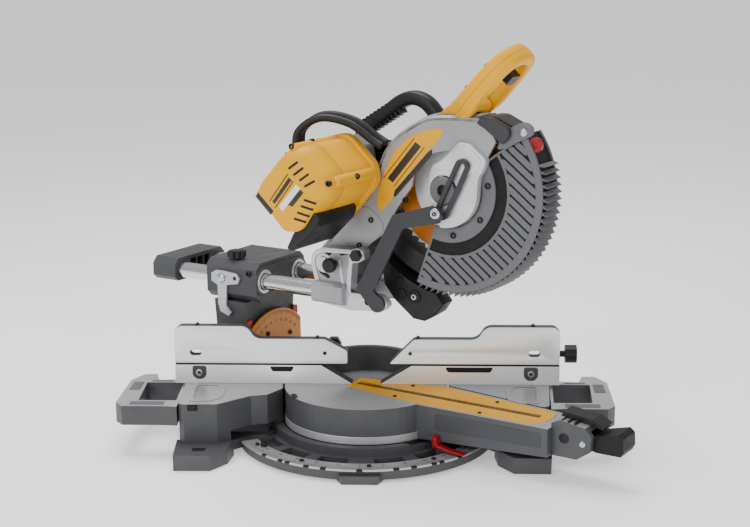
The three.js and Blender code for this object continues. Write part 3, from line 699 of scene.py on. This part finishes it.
decal = [
    (-81, 273), (-83.6, 284.8), (-102.7, 297.6), (-132.4, 310.6), (-166.7, 318.8), (-195.7, 315.6), (-225,
                                                                                                     303.8),
    (-243.6, 290.3), (-247, 281.3), (-232.6, 278.6), (-210.1, 279.4), (-123.5, 279.4), (-113.4, 273),
]
slab("side_decal", rounded(decal, 5, 4), "X", -31.55, -30.6, HEAD, YELLOW_PRINT, "head", "yellow_plastic",
     edge=0.2)
stripe = [(-119, 278.6), (-205, 278.8), (-214, 277.4), (-208, 271.5), (-120, 271.2), (-114, 273)]
slab("side_decal_shadow_stripe", rounded(stripe, 3), "X", -31.5, -30.6, HEAD, DARK_PRINT_AND_SHADE, "head",
     "black_plastic", edge=0.2)
bars = [[(-122, 305), (-203, 308.6), (-203, 307.2), (-122, 303.6)],
        [(-126, 284.4), (-207, 288.4), (-207, 287), (-126, 283)],
        [(-127, 299.5), (-201, 303), (-203.5, 292), (-129, 288.6)]]
bar_meshes = [slab_mesh(b, "X", -31.7, -31.0, HEAD, edge=0.1, rounds=1) for b in bars]
finish_object("side_decal_bars", joined(bar_meshes), DARK_PRINT_AND_SHADE, "head", "black_plastic")


def guard_room(lo, hi):
    """The closed volume that one side of the guard sweeps through, between two distances from the middle."""
    bm = bmesh.new()
    loops = []
    for k in range(61):
        angle = -12 + 162 * k / 60
        corners = [(lo, 60), (lo, 156), (hi, 156), (hi, 60)]
        loops.append([bm.verts.new((x, *polar(r, angle))) for x, r in corners])
    skin(bm, loops)
    return from_bmesh(bm, HEAD)


def slotted(mesh):
    """The mesh with the two slots that the sides of the guard swing through."""
    bm = bmesh.new()
    bm.from_mesh(mesh)
    bmesh.ops.remove_doubles(bm, verts=bm.verts, dist=1e-6)
    bmesh.ops.recalc_face_normals(bm, faces=bm.faces)
    bm.to_mesh(mesh)
    bm.free()
    return cut_by(mesh, [guard_room(-SLOT_OUT, -SLOT_IN), guard_room(SLOT_IN, SLOT_OUT)])


shroud = [(-295, 252), (-307, 252.5), (-317, 242), (-327, 211), (-319, 203), (-303, 203), (-299, 238)]
cover = slotted(slab_mesh(rounded(shroud, 4), "X", -38, 22, HEAD, edge=2.5, rounds=4))
finish_object("front_shroud_cover", cover, LINK_GREY, "head", "grey_plastic", replaced=("front_shroud",))
seam = [(-24, 304), (-62, 301), (-72, 292), (-73, 262), (-66, 252), (-46, 250), (-20, 255), (-2, 262),
        (2, 296)]
slab("arm_side_pad", rounded(seam, 8), "X", -32.2, -30.4, HEAD, LIGHT_CAST, "head", "light_casting",
     edge=0.8, rounds=3)
arm_screws = [((-31.2, -126, 257), (-1, 0, 0)), ((-32.0, -60, 276), (-1, 0, 0)),
              ((-32.0, -16, 264), (-1, 0, 0)),
              ((-31.2, -108, 250), (-1, 0, 0))]
screws("arm_screws", arm_screws, 4.4, HEAD, BLACK, "head", "black_plastic")
rim_path = [(0, 40, 305), (0, -20, 305), (0, -75, 303), (0, -105, 308), (0, -131, 321), (0, -156, 328.5),
            (0, -185, 328.5),
            (0, -215, 321), (0, -242, 310), (0, -270, 284), (0, -296, 256)]
crown = [(-31, -3), (-31, 0.6), (-27, 4.0), (-14, 5.6), (14, 5.6), (27, 4.0), (31, 0.6), (31, -3)]
finish_object("upper_guard_crown", slotted(swept_mesh(rim_path, crown, HEAD, 5)), LIGHT_CAST, "head",
              "light_casting")

# ---- Handle: two rounded shells round a grip hole ----


def handle_half(name, sign, replaced):
    """The upper (sign 1) or lower (sign -1) shell of the looped handle."""
    half = [(-17, -282, 287), (-27, -295, 283), (-36, -312, 281), (-38.5, -340, 281), (-36, -368, 281),
            (-25, -390, 281)]
    path = half + [(0, -397, 281)] + [(-x, y, z) for x, y, z in reversed(half)]
    section = []
    for i in range(17):
        t = math.pi * i / 16
        c, s = math.cos(t), math.sin(t)
        section.append((math.copysign(abs(c) ** 0.7, c) * 10.2, sign * (0.25 + abs(s) ** 0.62 * 15.0)))
    path_points = tube_points(path, 8)
    bm = bmesh.new()
    loops = []
    for i, here in enumerate(path_points):
        tangent = (path_points[min(i + 1, len(path_points) - 1)] - path_points[max(i - 1, 0)]).normalized()
        across = tangent.cross(Vector((0, 0, 1))).normalized()
        root = max(0.0, 1 - (abs(here.y) - 268) / 60)
        loops.append([bm.verts.new(here + across * a * (1 + 0.35 * root) + Vector((0, 0,
                b * (1 + 0.25 * root)))) for a, b in section])
    skin(bm, loops)
    finish_object(name, slotted(from_bmesh(bm, HEAD)), YELLOW, "head", "yellow_plastic", replaced=replaced)


handle_half("grip_shell_upper", 1, ("handle_upper_shell",))
handle_half("grip_shell_lower", -1, ("handle_lower_shell",))
root = [(-240, 308), (-262, 306), (-290, 301), (-299, 292), (-303, 277), (-296, 268), (-272, 290),
        (-246, 306)]
grip_root = slotted(slab_mesh(rounded(root, 9), "X", -28, 28, HEAD, edge=6, rounds=5))
finish_object("grip_root", grip_root, YELLOW, "head", "yellow_plastic")
grip_screws = [((s * (38.5 - (y < -350) * 2.5), y, 295.6), (0, 0, 1)) for s in (-1, 1) for y in (-322, -365)]
screws("grip_screws", grip_screws, 3.4, HEAD, BLACK, "head", "black_plastic")

# ---- Motor ----

MOTOR_SHAPE = [(-131, 326), (-131, 380), (-112, 398), (-36, 398), (-18, 386), (-18, 322), (-40, 303),
               (-112, 305)]
MOTOR_FACE = [(-118, 326), (-120, 378), (-99, 396), (-37, 396), (-20, 388), (-17, 318), (-38, 300),
              (-104, 313)]


def grown(points, by):
    cy = sum(p[0] for p in points) / len(points)
    cz = sum(p[1] for p in points) / len(points)
    return [(y + math.copysign(by, y - cy), z + math.copysign(by, z - cz)) for y, z in points]


vents = [((-94.2, 374.7), (-110.9, 371.0)), ((-93.7, 362.8), (-111.5, 359.0)),
         ((-95.6, 350.5), (-112.1, 346.8)),
         ((-95.6, 339.0), (-112.4, 333.4)), ((-80.2, 326.5), (-90.2, 311.0)), ((-69.7, 324.3),
                                                                               (-79.7, 308.6)),
         ((-58, 322.2), (-68, 306.5)), ((-47.4, 320), (-57.5, 305))]


def motor_cap():
    """The end of the motor housing: its outline draws in towards a flat eight-sided face."""
    body, face = rounded(MOTOR_SHAPE, 12, 6), rounded(MOTOR_FACE, 9, 6)
    stations = [(-120.4, 0.0, 0.985), (-121.4, 0.0, 1.0), (-146, 0.0, 1.0), (-156, 0.25, 0.995),
                (-163, 0.7, 0.985), (-166.8, 1.0, 0.96),
                (-168, 1.0, 0.92)]
    bm = bmesh.new()
    loops = []
    for x, t, size in stations:
        mixed = [(a[0] + (b[0] - a[0]) * t, a[1] + (b[1] - a[1]) * t) for a, b in zip(body, face)]
        cy, cz = -72, 352
        loops.append([bm.verts.new((x, cy + (y - cy) * size, cz + (z - cz) * size)) for y, z in mixed])
    skin(bm, loops)
    return from_bmesh(bm, HEAD)


finish_object("motor_cap_shell", motor_cap(), YELLOW, "head", "yellow_plastic", angle=50,
              replaced=("motor_end_cap",))
# Thin black slots on the cap and top: painted shade standing in for the vent openings.
vent_shades = [slab_mesh(oblong(a, b, 1.7), "X", -168.5, -167.2, HEAD, edge=0.2, rounds=1) for a, b in vents]
for k in range(4):
    vent_shades.append(slab_mesh(oblong((-156, -98 + 15 * k), (-147, -98 + 15 * k), 1.6), "Z", 397.4, 398.6,
                            HEAD, edge=0.2, rounds=1))
finish_object("motor_vent_painted_shade", joined(vent_shades), SOFT_BLACK, "head", "black_plastic")
body_parts = [slab_mesh(rounded(MOTOR_SHAPE, 10, 6), "X", -120.0, -48, HEAD, edge=1.0, rounds=2),
              slab_mesh(rounded(grown(MOTOR_SHAPE, 4), 12, 6), "X", -50, -33.6, HEAD, edge=2.5, rounds=3)]
for y, z, x0, x1 in ((-112, 392, -158, -40), (-122, 318, -146, -38), (-20, 388, -158, -40),
                     (-36, 314, -158, -40)):
    lug = [(0, 0), (5.5, 0.2), (8.2, 3), (8.6, 8), (8.6, x1 - x0 - 8), (8.2, x1 - x0 - 3),
           (5.5, x1 - x0 - 0.2), (0, x1 - x0)]
    body_parts.append(from_bmesh(turned_bmesh(lug, (x0, y, z), (1, 0, 0), 28), HEAD))
finish_object("motor_body_shell", joined(body_parts), YELLOW, "head", "yellow_plastic",
              replaced=("motor_housing",))
motor_screws = [((-112, -118, 397), (0, -0.5, 0.86)), ((-98, -129, 314), (-0.3, -0.9, -0.3)),
                ((-157, -114, 397), (-1, 0, 0)),
                ((-158.3, -36, 314), (-1, 0, 0)), ((-158.3, -122, 318), (-1, 0, 0)), ((-158.3, -20, 388),
                                                                                      (-1, 0, 0))]
screws("motor_screws", motor_screws, 4.4, HEAD, BLACK, "head", "black_plastic")
label = [(-40, 350.3), (-86, 351.4), (-87, 342.5), (-39, 341.4)]
patch = [(-53.1, 341.2), (-86, 341.8), (-86.6, 334.6), (-57.3, 334.1)]
badge = [(-19.5, 389), (-27, 387.0), (-27.5, 352), (-19.5, 352)]
WHITE_PRINT = textured("white_print", 0xE4E4E2, 0.35, 0.0, 500.0, 0.02, 0.03)
slab("motor_blank_label", rounded(label, 1), "X", -168.4, -167.4, HEAD, WHITE_PRINT, "head",
     "yellow_plastic", edge=0.1)
dark_patches = [slab_mesh(rounded(p, 1), "X", -168.4, -167.4, HEAD, edge=0.1, rounds=1)
                for p in (patch, badge)]
rules = [slab_mesh([(-33, 367.4 - d), (-86, 371.6 - d), (-86, 370 - d), (-33, 365.8 - d)], "X", -168.4,
                   -167.4, HEAD, edge=0.1, rounds=1)
         for d in (0, 13)]
rules.append(slab_mesh([(-36, 363), (-84, 366.6), (-85, 360.6), (-37, 357.6)], "X", -168.4, -167.4, HEAD,
                       edge=0.1, rounds=1))
finish_object("motor_blank_patches", joined(dark_patches + rules), DARK_PRINT_AND_SHADE, "head", "black_plastic")
foot = [(-72, 312), (-76, 298), (-62, 290), (-4, 293), (4, 304), (-26, 312)]
slab("motor_foot_cover", rounded(foot, 6), "X", -160, -60, HEAD, BLACK, "head", "black_plastic", edge=3,
     rounds=4,
     replaced=("motor_base",))

# ---- Carry handle with finger grooves ----


def carry():
    path = [(46, -92, 392), (46, -104, 402), (46, -128, 398), (46, -160, 392), (46, -188, 386),
            (46, -208, 374),
            (46, -218, 352), (46, -216, 322)]
    section = []
    for i in range(24):
        t = 2 * math.pi * i / 24
        c, s = math.cos(t), math.sin(t)
        section.append((math.copysign(abs(c) ** 0.6, c) * 11.5, math.copysign(abs(s) ** 0.6, s) * 11.0))
    mesh = swept_mesh(path, section, HEAD, 10)
    finish_object("carry_grip", mesh, BLACK, "head", "black_plastic", angle=60, replaced=("carry_handle",))
    bars = []
    for k in range(9):
        t = k / 8
        centre = Vector((46, -118 - 62 * t, 402 - 17 * t))
        tilt = Matrix.Rotation(math.radians(15), 4, "X")
        bars.append(block_mesh(centre - Vector((9.5, 2.2, 13.5)), centre + Vector((9.5, 2.2, 12.6)), HEAD,
                               tilt))
    finish_object("carry_grip_ribs", joined(bars), BLACK, "head", "black_plastic", bevel=1.0)


carry()

# ---- Dust duct between the blade and the chute ----

duct = sector(111, 140.5, 160, 204, 24)
slab("dust_duct_band", duct, "X", -19, 19, HEAD, BLACK, "head", "black_plastic", edge=1.2)
chute = [polar(161, a) for a in range(172, 217, 3)] + [(-50, 113), (-30, 110), (-6, 116), (6, 131),
                                                       (10, 172), (6, 200), (-14, 226)]
slab("dust_chute_shell", chute, "X", -14, 17, HEAD, BLACK, "head", "black_plastic", edge=2.5, rounds=3,
     replaced=("dust_chute",))
lugs = [slab_mesh(ring(y, z, r, 32), "X", -16.5, -13, HEAD, edge=1.0)
        for y, z, r in ((-22, 152, 10), (-8, 170, 7), (-20, 186, 5))]
finish_object("dust_chute_lugs", joined(lugs), SOFT_BLACK, "head", "black_plastic")
screws("dust_chute_screws", [((-16.6, -22, 152), (-1, 0, 0))], 4.6, HEAD, STEEL, "head", "steel")
backing = sector(138, 176, 164, 212, 24)
slab("dust_backing_plate", backing, "X", 26.9, 29.5, HEAD, BLACK, "head", "black_plastic", edge=0.8)

# ---- Fences: machined faces with their holes, and the fixed fence behind them ----


def fence_face(name, side, replaced):
    slope = [(29, 116), (29, 137), (64, 156)] if side < 0 else [(35, 116), (74, 156)]
    outline = slope + [(166, 156), (174, 160), (182, 172), (190, 176), (290, 176), (298, 168), (298, 116)]
    outline = rounded([(side * x, z) for x, z in outline], 4, 4)
    far, near = (265, 64) if side < 0 else (259, 68)
    holes = [oblong((side * (far - 4.5), 133.6), (side * (far + 4.5), 133.6), 4.6),
             ring(side * near, 133, 2.8, 20)]
    notches = [ring(side * x, z, r, 20) for x, z, r in ((near + 12, 156.0, 4.0), (far - 2, 176.0, 4.0))]
    mesh = slab_mesh(outline, "Y", 2, 18, WORLD, holes, 0.7, 2)
    cutters = [slab_mesh(n, "Y", 4.5, 25, WORLD, edge=0.05, rounds=1) for n in notches]
    finish_object(name, cut_by(mesh, cutters), FENCE, f"{name.split('_')[0]}_fence", "machined",
                  replaced=replaced)
    plugs = [slab_mesh(ring(side * x, z - 0.4, 3.4, 20), "Y", 4.6, 16, WORLD, edge=0.4)
             for x, z in ((near + 12, 155.6), (far - 2, 175.6))]
    finish_object(f"{name}_plugs", joined(plugs), BLACK, f"{name.split('_')[0]}_fence", "black_plastic")


fence_face("left_face_plate", -1, ("left_sliding_fence",))
fence_face("right_face_plate", 1, ("right_sliding_fence",))


def tab_hardware():
    tabs = (-260, 254)
    pads = [slab_mesh(rounded([(x - 11, 112.6), (x - 11, 97), (x - 5, 91), (x + 5, 91), (x + 11, 97),
                               (x + 11, 112.6)], 4), "Y",
                      -0.7, 1.2, WORLD, edge=0.5) for x in tabs]
    finish_object("fence_tab_pads", joined(pads), DARK_CAST, "base", "dark_casting")
    screws("fence_tab_screws", [((x, -1.2, 102.5), (0, -1, 0)) for x in tabs], 5.4, WORLD, STEEL, "base",
           "steel")
    # Thin black sheets on the fixed fence: painted shade standing in for recesses.
    pockets = [slab_mesh(rounded([(x0, 112), (x1, 112), (x1 - 4, 104), (x0 + 4, 104)], 3), "Y", -0.5, 1.0,
                         WORLD, edge=0.3)
               for x0, x1 in ((-150, -112), (122, 196))]
    finish_object("fence_recess_painted_shade", joined(pockets), SOFT_BLACK, "base", "black_plastic")
    # Black strips along the sliding fences' lower edges: painted shade for the gap between sliding and fixed
    # fence.
    gap_shade = [slab_mesh([(s * 298, 114.1), (s * 66, 114.1), (s * 66, 115.9), (s * 298, 115.9)], "Y", 4, 17,
                        WORLD, edge=0.2) for s in (-1, 1)]
    finish_object("fence_gap_painted_shade", joined(gap_shade), BLACK, "base", "black_plastic")


tab_hardware()

# ---- Base: painted shade for recesses in the blocks, foot screws and scale ----


def base_trim():
    # Thin black sheets on the blocks' fronts and tops: painted shade standing in for pockets and holes.
    insets = []
    for s in (-1, 1):
        pocket = [(s * 262, 84.0), (s * 247, 84.0), (s * 247, 74.5), (s * 262, 74.5)]
        insets.append(slab_mesh(rounded(pocket, 1.5), "Y", -107.2, -104.6, WORLD, edge=0.3))
        hole = [(s * 252, -128), (s * 232, -128), (s * 232, -142), (s * 252, -142)]
        insets.append(slab_mesh(rounded(hole, 4), "Z", 23.2, 24.3, WORLD, edge=0.2))
    finish_object("base_pocket_painted_shade", joined(insets), SOFT_BLACK, "base", "black_plastic")
    steps = []
    for s in (-1, 1):
        plan = [(s * 268, -2), (s * 224, -2), (s * 214, -26), (s * 214, -74), (s * 232, -92), (s * 262, -92)]
        inner = [(s * 260, -12), (s * 230, -12), (s * 223, -30), (s * 223, -70), (s * 236, -83),
                 (s * 256, -83)]
        steps.append(slab_mesh(rounded(plan, 8), "Z", 83.4, 84.9, WORLD, [rounded(inner, 7)], 0.6, 2))
    finish_object("block_top_ribs", joined(steps), DARK_TOP, "base", "dark_casting")
    spots = [((-148, -108, 24.6), (0, 0, 1)), ((148, -108, 24.6), (0, 0, 1)), ((-240, 74, 20.6), (0, 0, 1)),
             ((240, 74, 20.6), (0, 0, 1))]
    screws("base_screws", spots, 5.0, WORLD, BLACK, "base", "black_plastic")


base_trim()


def handle_insets():
    for s, tag in ((-1, "left"), (1, "right")):
        pads = [slab_mesh(rounded([(s * x0, y0), (s * x1, y0), (s * x1, y1), (s * x0, y1)], 2), "Z", 79.4,
                          80.5, WORLD, edge=0.4)
                for x0, x1, y0, y1 in ((350, 367, -24, 18), (306, 340, 20, 27), (300, 352, -96, -80))]
        finish_object(f"{tag}_handle_insets", joined(pads), HUB_GREY, "base", "dark_casting")


handle_insets()


def flat_bar(centre, angle, length, width, thick):
    turn_to = Matrix.Translation(centre) @ Matrix.Rotation(angle, 4, "Z")
    bm = bmesh.new()
    bmesh.ops.create_cube(bm, size=1.0)
    bm.transform(turn_to @ Matrix.Diagonal((length, width, thick, 1)))
    return bm


def miter_scale():
    """Degree ticks and generic numbers on the detent plate."""
    marks = []
    for step in range(-60, 61):
        angle = math.radians(-90 + step)
        length = 8.0 if step % 10 == 0 else 6.0 if step % 5 == 0 else 4.0
        r = 198.5 - length / 2
        centre = Vector((r * math.cos(angle), r * math.sin(angle), 20.45))
        marks.append(from_bmesh(flat_bar(centre, angle, length, 0.7, 0.16), WORLD))
    for step in range(-60, 61, 10):
        angle = math.radians(-90 + step)
        at = Matrix.Translation((185.5 * math.cos(angle), 185.5 * math.sin(angle),
                                 20.45)) @ Matrix.Rotation(angle + math.pi / 2, 4, "Z")
        marks.append(lettering(f"miter_number_{step}", str(abs(step)), 7.0, at))
    finish_object("miter_scale_marks", joined(marks), DARK_PRINT_AND_SHADE, "base", "black_plastic")
    notches = []
    for step in (0, 15, 22.5, 31.6, 35.3, 45, -15, -22.5, -31.6, -35.3, -45):
        angle = math.radians(-90 + step)
        at = Vector((202.6 * math.cos(angle), 202.6 * math.sin(angle), 19.6))
        notches.append(from_bmesh(flat_bar(at, angle, 5.0, 8.2, 2.4), WORLD))
    finish_object("detent_notch_shadows", joined(notches), SOFT_BLACK, "base", "black_plastic", bevel=0.4)
    plate_screws = [((189 * math.cos(a), 189 * math.sin(a), 20.6), (0, 0, 1))
                    for a in map(math.radians, (213, 243, 274, 304, 327))]
    screws("detent_plate_screws", plate_screws, 3.6, WORLD, BLACK, "base", "black_plastic")


miter_scale()

# ---- Turntable and arm ----

skirt = [(125.6, 30.4), (126.9, 30.4), (127.5, 31.0), (127.5, 41.4), (126.9, 42), (125.6, 42)]
turned("table_bright_band", skirt, (0, 0, 0), (0, 0, 1), SAW, MACHINED, "turntable", "machined", 120)
# A thin black oblong on the table top: painted shade standing in for a slot.
slot_plan = oblong((-101, 66), (-111, 56), 4.2)
slab("table_slot_painted_shade", slot_plan, "Z", 83.4, 84.45, SAW, SOFT_BLACK, "turntable", "black_plastic", edge=0.2)
under_slot = [(-6, -302), (6, -302), (6, 16), (-6, 16)]
slab("kerf_shadow_strip", under_slot, "Z", 60.2, 62, SAW, SOFT_BLACK, "turntable", "black_plastic", edge=0.2)
# Dark strips on both sides of the kerf slot: painted shade that widens the slot's dark line.
slot_shade_strips = [slab_mesh([(s * 2.65, -300), (s * 5.6, -300), (s * 5.6, 14), (s * 2.65, 14)], "Z", 83.7, 84.36, SAW,
                  edge=0.15) for s in (-1, 1)]
finish_object("kerf_slot_painted_shade", joined(slot_shade_strips), DARK_PRINT_AND_SHADE, "turntable", "black_plastic")
fasteners = [((x, y, 84.2), (0, 0, 1)) for x, y in ((-29, -70), (29.5, -67), (-32, -217), (25, -216))]
screws("kerf_plate_screws", fasteners, 2.9, SAW, BLACK, "turntable", "black_plastic")
plug = [(0, 1.2), (6.0, 1.2), (7.6, 0.4), (7.6, -2), (0, -2)]
turned("nose_plug", plug, (-31, -352, 70), (-1, 0, 0), SAW, BLACK, "turntable", "black_plastic", 32)
turned("nose_pin", [(0, 1.0), (3.6, 1.0), (4.4, 0.2), (4.4, -2), (0, -2)], (-31, -380, 66), (-1, 0, 0), SAW,
       STEEL, "turntable", "steel", 24)
panel = [(-150, 50), (-322, 54), (-322, 76), (-150, 76)]
slab("arm_side_panel", rounded(panel, 5), "X", -45.9, -44.6, SAW, DARK_CAST, "turntable", "dark_casting",
     edge=0.6, rounds=3)
ribs = [slab_mesh(rounded([(-30, y), (30, y), (30, y - 3), (-30, y - 3)], 1), "Z", 89.5, 96.4, SAW,
                  edge=0.6) for y in (-346, -356, -366)]
finish_object("nose_grip_ribs", joined(ribs), BLACK, "turntable", "black_plastic")

# ---- Bevel scale ----


def bevel_marks():
    marks = []
    for step in range(-44, 45, 2):
        angle = math.radians(90 + step)
        length = 9.0 if step % 10 == 0 else 5.0
        r = 94.5 - length / 2
        bm = flat_bar(Vector((0, 0, 0)), 0, length, 0.7, 0.2)
        bm.transform(Matrix.Translation((r * math.cos(angle), 171.9,
                                         84.5 + r * math.sin(angle))) @ Matrix.Rotation(-angle, 4, "Y") @
                     Matrix.Rotation(math.pi / 2, 4, "X"))
        marks.append(from_bmesh(bm, SAW))
    for step in range(-40, 41, 10):
        angle = math.radians(90 + step)
        r = 78
        at = Matrix.Translation((r * math.cos(angle), 171.9,
                                 84.5 + r * math.sin(angle))) @ Matrix.Rotation(math.pi / 2, 4, "X")
        at = SAW @ at @ Matrix.Rotation(angle - math.pi / 2, 4, "Z")
        marks.append(lettering(f"bevel_number_{step}", str(abs(step)), 7.0, at))
    finish_object("bevel_scale_marks", joined(marks), DARK_PRINT_AND_SHADE, "turntable", "black_plastic")
    screws("bevel_scale_screws", [((-22, 171.6, 146), (0, -1, 0)), ((37, 171.6, 135), (0, -1, 0))], 3.8,
           SAW, BLACK, "turntable",
           "black_plastic")


bevel_marks()

# ---- Rail housing, lever plate and carriage ----

RAIL_X, RAIL_Z = 45, 238

def collar():
    outline = oblong((-RAIL_X, RAIL_Z), (RAIL_X, RAIL_Z), 23, 16)
    holes = [ring(s * RAIL_X, RAIL_Z, 17.2, 40) for s in (-1, 1)]
    slab("housing_front_collar", outline, "Y", 157.6, 160.4, SAW, DARK_CAST, "bevel_head", "dark_casting",
         holes, 1.0, 3)
    holes = [ring(s * RAIL_X, RAIL_Z, 13.8, 40) for s in (-1, 1)]
    rims = [slab_mesh(ring(s * RAIL_X, RAIL_Z, 18.6, 48), "Y", 156.8, 158.8, SAW, [h], 0.6, 2)
            for s, h in zip((-1, 1), holes)]
    finish_object("housing_collar_rims", joined(rims), BRIGHT_CAST, "bevel_head", "machined")
    ribs = [slab_mesh(rounded([(-20, 180), (20, 180), (14, 100), (-14, 100)], 6), "Y", 178.5, 182.6, SAW,
                      edge=1.2)]
    finish_object("housing_front_web", joined(ribs), DARK_CAST, "bevel_head", "dark_casting")
    bolts = [((-64.6, 174, 252), (-1, 0, 0))]
    screws("housing_side_bolts", bolts, 5.0, SAW, BLACK, "bevel_head", "black_plastic")
    turned("lever_bolt_head", [(0, 4.2), (5.2, 4.0), (7.4, 2.6), (7.8, 0), (7.8, -2), (0, -2)],
           (-68, 226, 240), (-1, 0, 0), SAW, STEEL,
           "bevel_head", "steel", 32)


collar()
cheek_outline = [(64, 276), (64, 292), (54, 302), (42, 306), (-10, 308), (-20, 312), (-30, 308), (-32, 296),
                 (-22, 290), (-10, 288),
                 (-6, 242), (-56, 243), (-66, 236), (-66, 226), (-58, 220), (-6, 215), (24, 218), (58,
                         222), (58, 256)]
cheek_ribs = []
for side in (-1, 1):
    a, b = sorted((side * 50.0, side * 51.6))
    rim = rounded(cheek_outline, 4)
    inner = [(57, 279), (57, 289), (51, 295), (40, 299), (-8, 301), (-4, 296), (1, 246), (8, 236),
             (50, 234), (51, 258)]
    slot = rounded([(-12, 236), (-48, 237), (-52, 232), (-46, 227), (-12, 224)], 3)
    cheek_ribs.append(slab_mesh(rim, "X", a, b, SAW, [rounded(inner, 6), slot], 0.6, 2))
    a, b = sorted((side * 49.8, side * 51.2))
    cheek_ribs.append(slab_mesh(ring(*PIVOT.yz, 15, 40), "X", a, b, SAW, [ring(*PIVOT.yz, 10, 32)], 0.6, 2))
    cheek_ribs.append(slab_mesh(oblong((14, 288), (6, 246), 2.2), "X", a, b, SAW, edge=0.6))
finish_object("bracket_cheek_ribs", joined(cheek_ribs), BRIGHT_CAST, "carriage", "light_casting")
# Thin black kidney shapes on the bracket cheek: painted shade standing in for slots.
kidneys = [slab_mesh(oblong(a, b, 3.0), "X", -50.6, -49.6, SAW, edge=0.2)
           for a, b in (((40, 294), (30, 299)), ((10, 300), (0, 302)), ((47, 268), (34, 262)))]
finish_object("bracket_slot_painted_shade", joined(kidneys), SOFT_BLACK, "carriage", "black_plastic")
clamp = [((-51.6, 22, 228), (-1, 0, 0)), ((-51.6, -38, 232), (-1, 0, 0)), ((51.6, 22, 228), (1, 0, 0))]
screws("bracket_bolts", clamp, 5.2, SAW, BLACK, "carriage", "black_plastic")
knob = [(0, 12), (8, 12), (10.6, 10.4), (11.2, 8), (11.2, 3), (9.4, 1.2), (6.4, 0), (6.4, -4), (0, -4)]
turned("lock_pin_knob", knob, (-57, 22.7, 283), (-1, 0, 0), SAW, BLACK, "lock_pin", "black_plastic", 40,
       replaced=("lock_down_pin",))
pointer = [(-150, 44), (-153, 27), (-176, 24.4), (-205, 23.2), (-206, 24.6), (-178, 27.4), (-160, 31),
           (-158, 44)]
slab("miter_pointer_clip", rounded(pointer, 1.5), "X", -58, -46.2, SAW, RED, "turntable", "red_plastic",
     edge=0.7,
     replaced=("miter_pointer",))

# ---- Lower arm of the bracket, belt cover and gear housing ----

lower_arm = [(-8, 240), (-60, 241), (-70, 234), (-70, 226), (-62, 219), (-8, 217)]
eyes = [ring(-60, 230, 4.4, 28), ring(-44, 230, 2.6, 20)]
slab("bracket_lower_arm", rounded(lower_arm, 8), "X", -51.5, -34.5, SAW, BRIGHT_CAST, "carriage",
     "light_casting", eyes, 1.6, 3)
BELT_LINE = (Vector(ARBOR), Vector((-75, 355)))
cover_rim = oblong(BELT_LINE[0], BELT_LINE[1], 43, 20)
cover_hole = oblong(BELT_LINE[0], BELT_LINE[1], 35, 20)
slab("belt_cover_rim", cover_rim, "X", 59.4, 61.6, HEAD, DARK_CAST, "head", "dark_casting", [cover_hole],
     0.9, 3)
cover_ribs = []
for k in (-2, -1, 0, 1, 2):
    shift, inset = Vector((k * 9, -k * 9)) * 0.9, Vector((12, 14))
    line = oblong(BELT_LINE[0] + shift + inset, BELT_LINE[1] + shift - inset, 1.8)
    cover_ribs.append(slab_mesh(line, "X", 59.6, 61.2, HEAD, edge=0.6))
finish_object("belt_cover_ribs", joined(cover_ribs), DARK_CAST, "head", "dark_casting")
cover_screws = [((60.4, *spot), (1, 0, 0)) for spot in ((-222, 200), (-158, 192), (-212, 256), (-106, 380),
                                                        (-50, 378), (-46, 330))]
screws("belt_cover_screws", cover_screws, 3.8, HEAD, BLACK, "head", "black_plastic")
gear = [(-112, 398), (-28, 398), (-12, 384), (-12, 322), (-30, 304), (-80, 304), (-96, 330), (-118, 366)]
slab("gear_housing", rounded(gear, 14, 6), "X", -33.4, -27, HEAD, LIGHT_CAST, "head", "light_casting",
     edge=3, rounds=4)
pin_head = [(0, 3.4), (4.2, 3.4), (4.2, 2.4), (7.0, 2.2), (7.8, 1.4), (7.8, -2), (0, -2)]
turned("guard_link_pin", pin_head, (-56.4, -156.4, 377.5), (-1, 0, 0), SAW, STEEL, "guard_link", "steel", 32)
screws("guard_link_pin_screw", [((-59.6, -156.4, 377.5), (-1, 0, 0))], 3.2, SAW, BLACK, "guard_link",
       "black_plastic")

# ---- Floor, lights and surroundings ----


def floor_material():
    m = Maker("floor_paper")
    m.link(m.ramp(m.noise(3.0, 3.0), [(0.3, (0.86, 0.86, 0.86, 1)), (0.7, (0.9, 0.9, 0.9, 1))]),
           "Base Color")
    m.shader.inputs["Roughness"].default_value = 0.8
    m.shader.inputs["Emission Color"].default_value = (1, 1, 1, 1)
    m.shader.inputs["Emission Strength"].default_value = 0.45
    return m.material


floor_mesh = bpy.data.meshes.new("floor")
floor_mesh.from_pydata([(-40, -40, -0.0004), (40, -40, -0.0004), (40, 40, -0.0004), (-40, 40, -0.0004)], [],
                       [(0, 1, 2, 3)])
floor_mesh.materials.append(floor_material())
floor = bpy.data.objects.new("floor", floor_mesh)
bpy.context.collection.objects.link(floor)

world = bpy.data.worlds.new("studio")
world.use_nodes = True
world.node_tree.nodes["Background"].inputs["Color"].default_value = (1, 1, 1, 1)
world.node_tree.nodes["Background"].inputs["Strength"].default_value = 0.6
bpy.context.scene.world = world


def softbox(name, at, aim, size, watts):
    light = bpy.data.lights.new(name, "AREA")
    light.shape = "RECTANGLE"
    light.size, light.size_y = size
    light.energy = watts
    obj = bpy.data.objects.new(name, light)
    obj.location = at
    obj.rotation_euler = (Vector(aim) - Vector(at)).to_track_quat("-Z", "Y").to_euler()
    bpy.context.collection.objects.link(obj)


softbox("top_light", (-0.3, 0.3, 2.4), (0, 0, 0.2), (2.2, 1.4), 62)
softbox("front_left_light", (-1.9, -2.4, 1.5), (0, 0, 0.25), (1.6, 1.4), 42)
softbox("front_right_light", (1.8, -2.2, 0.7), (0, 0, 0.2), (1.2, 1.0), 16)
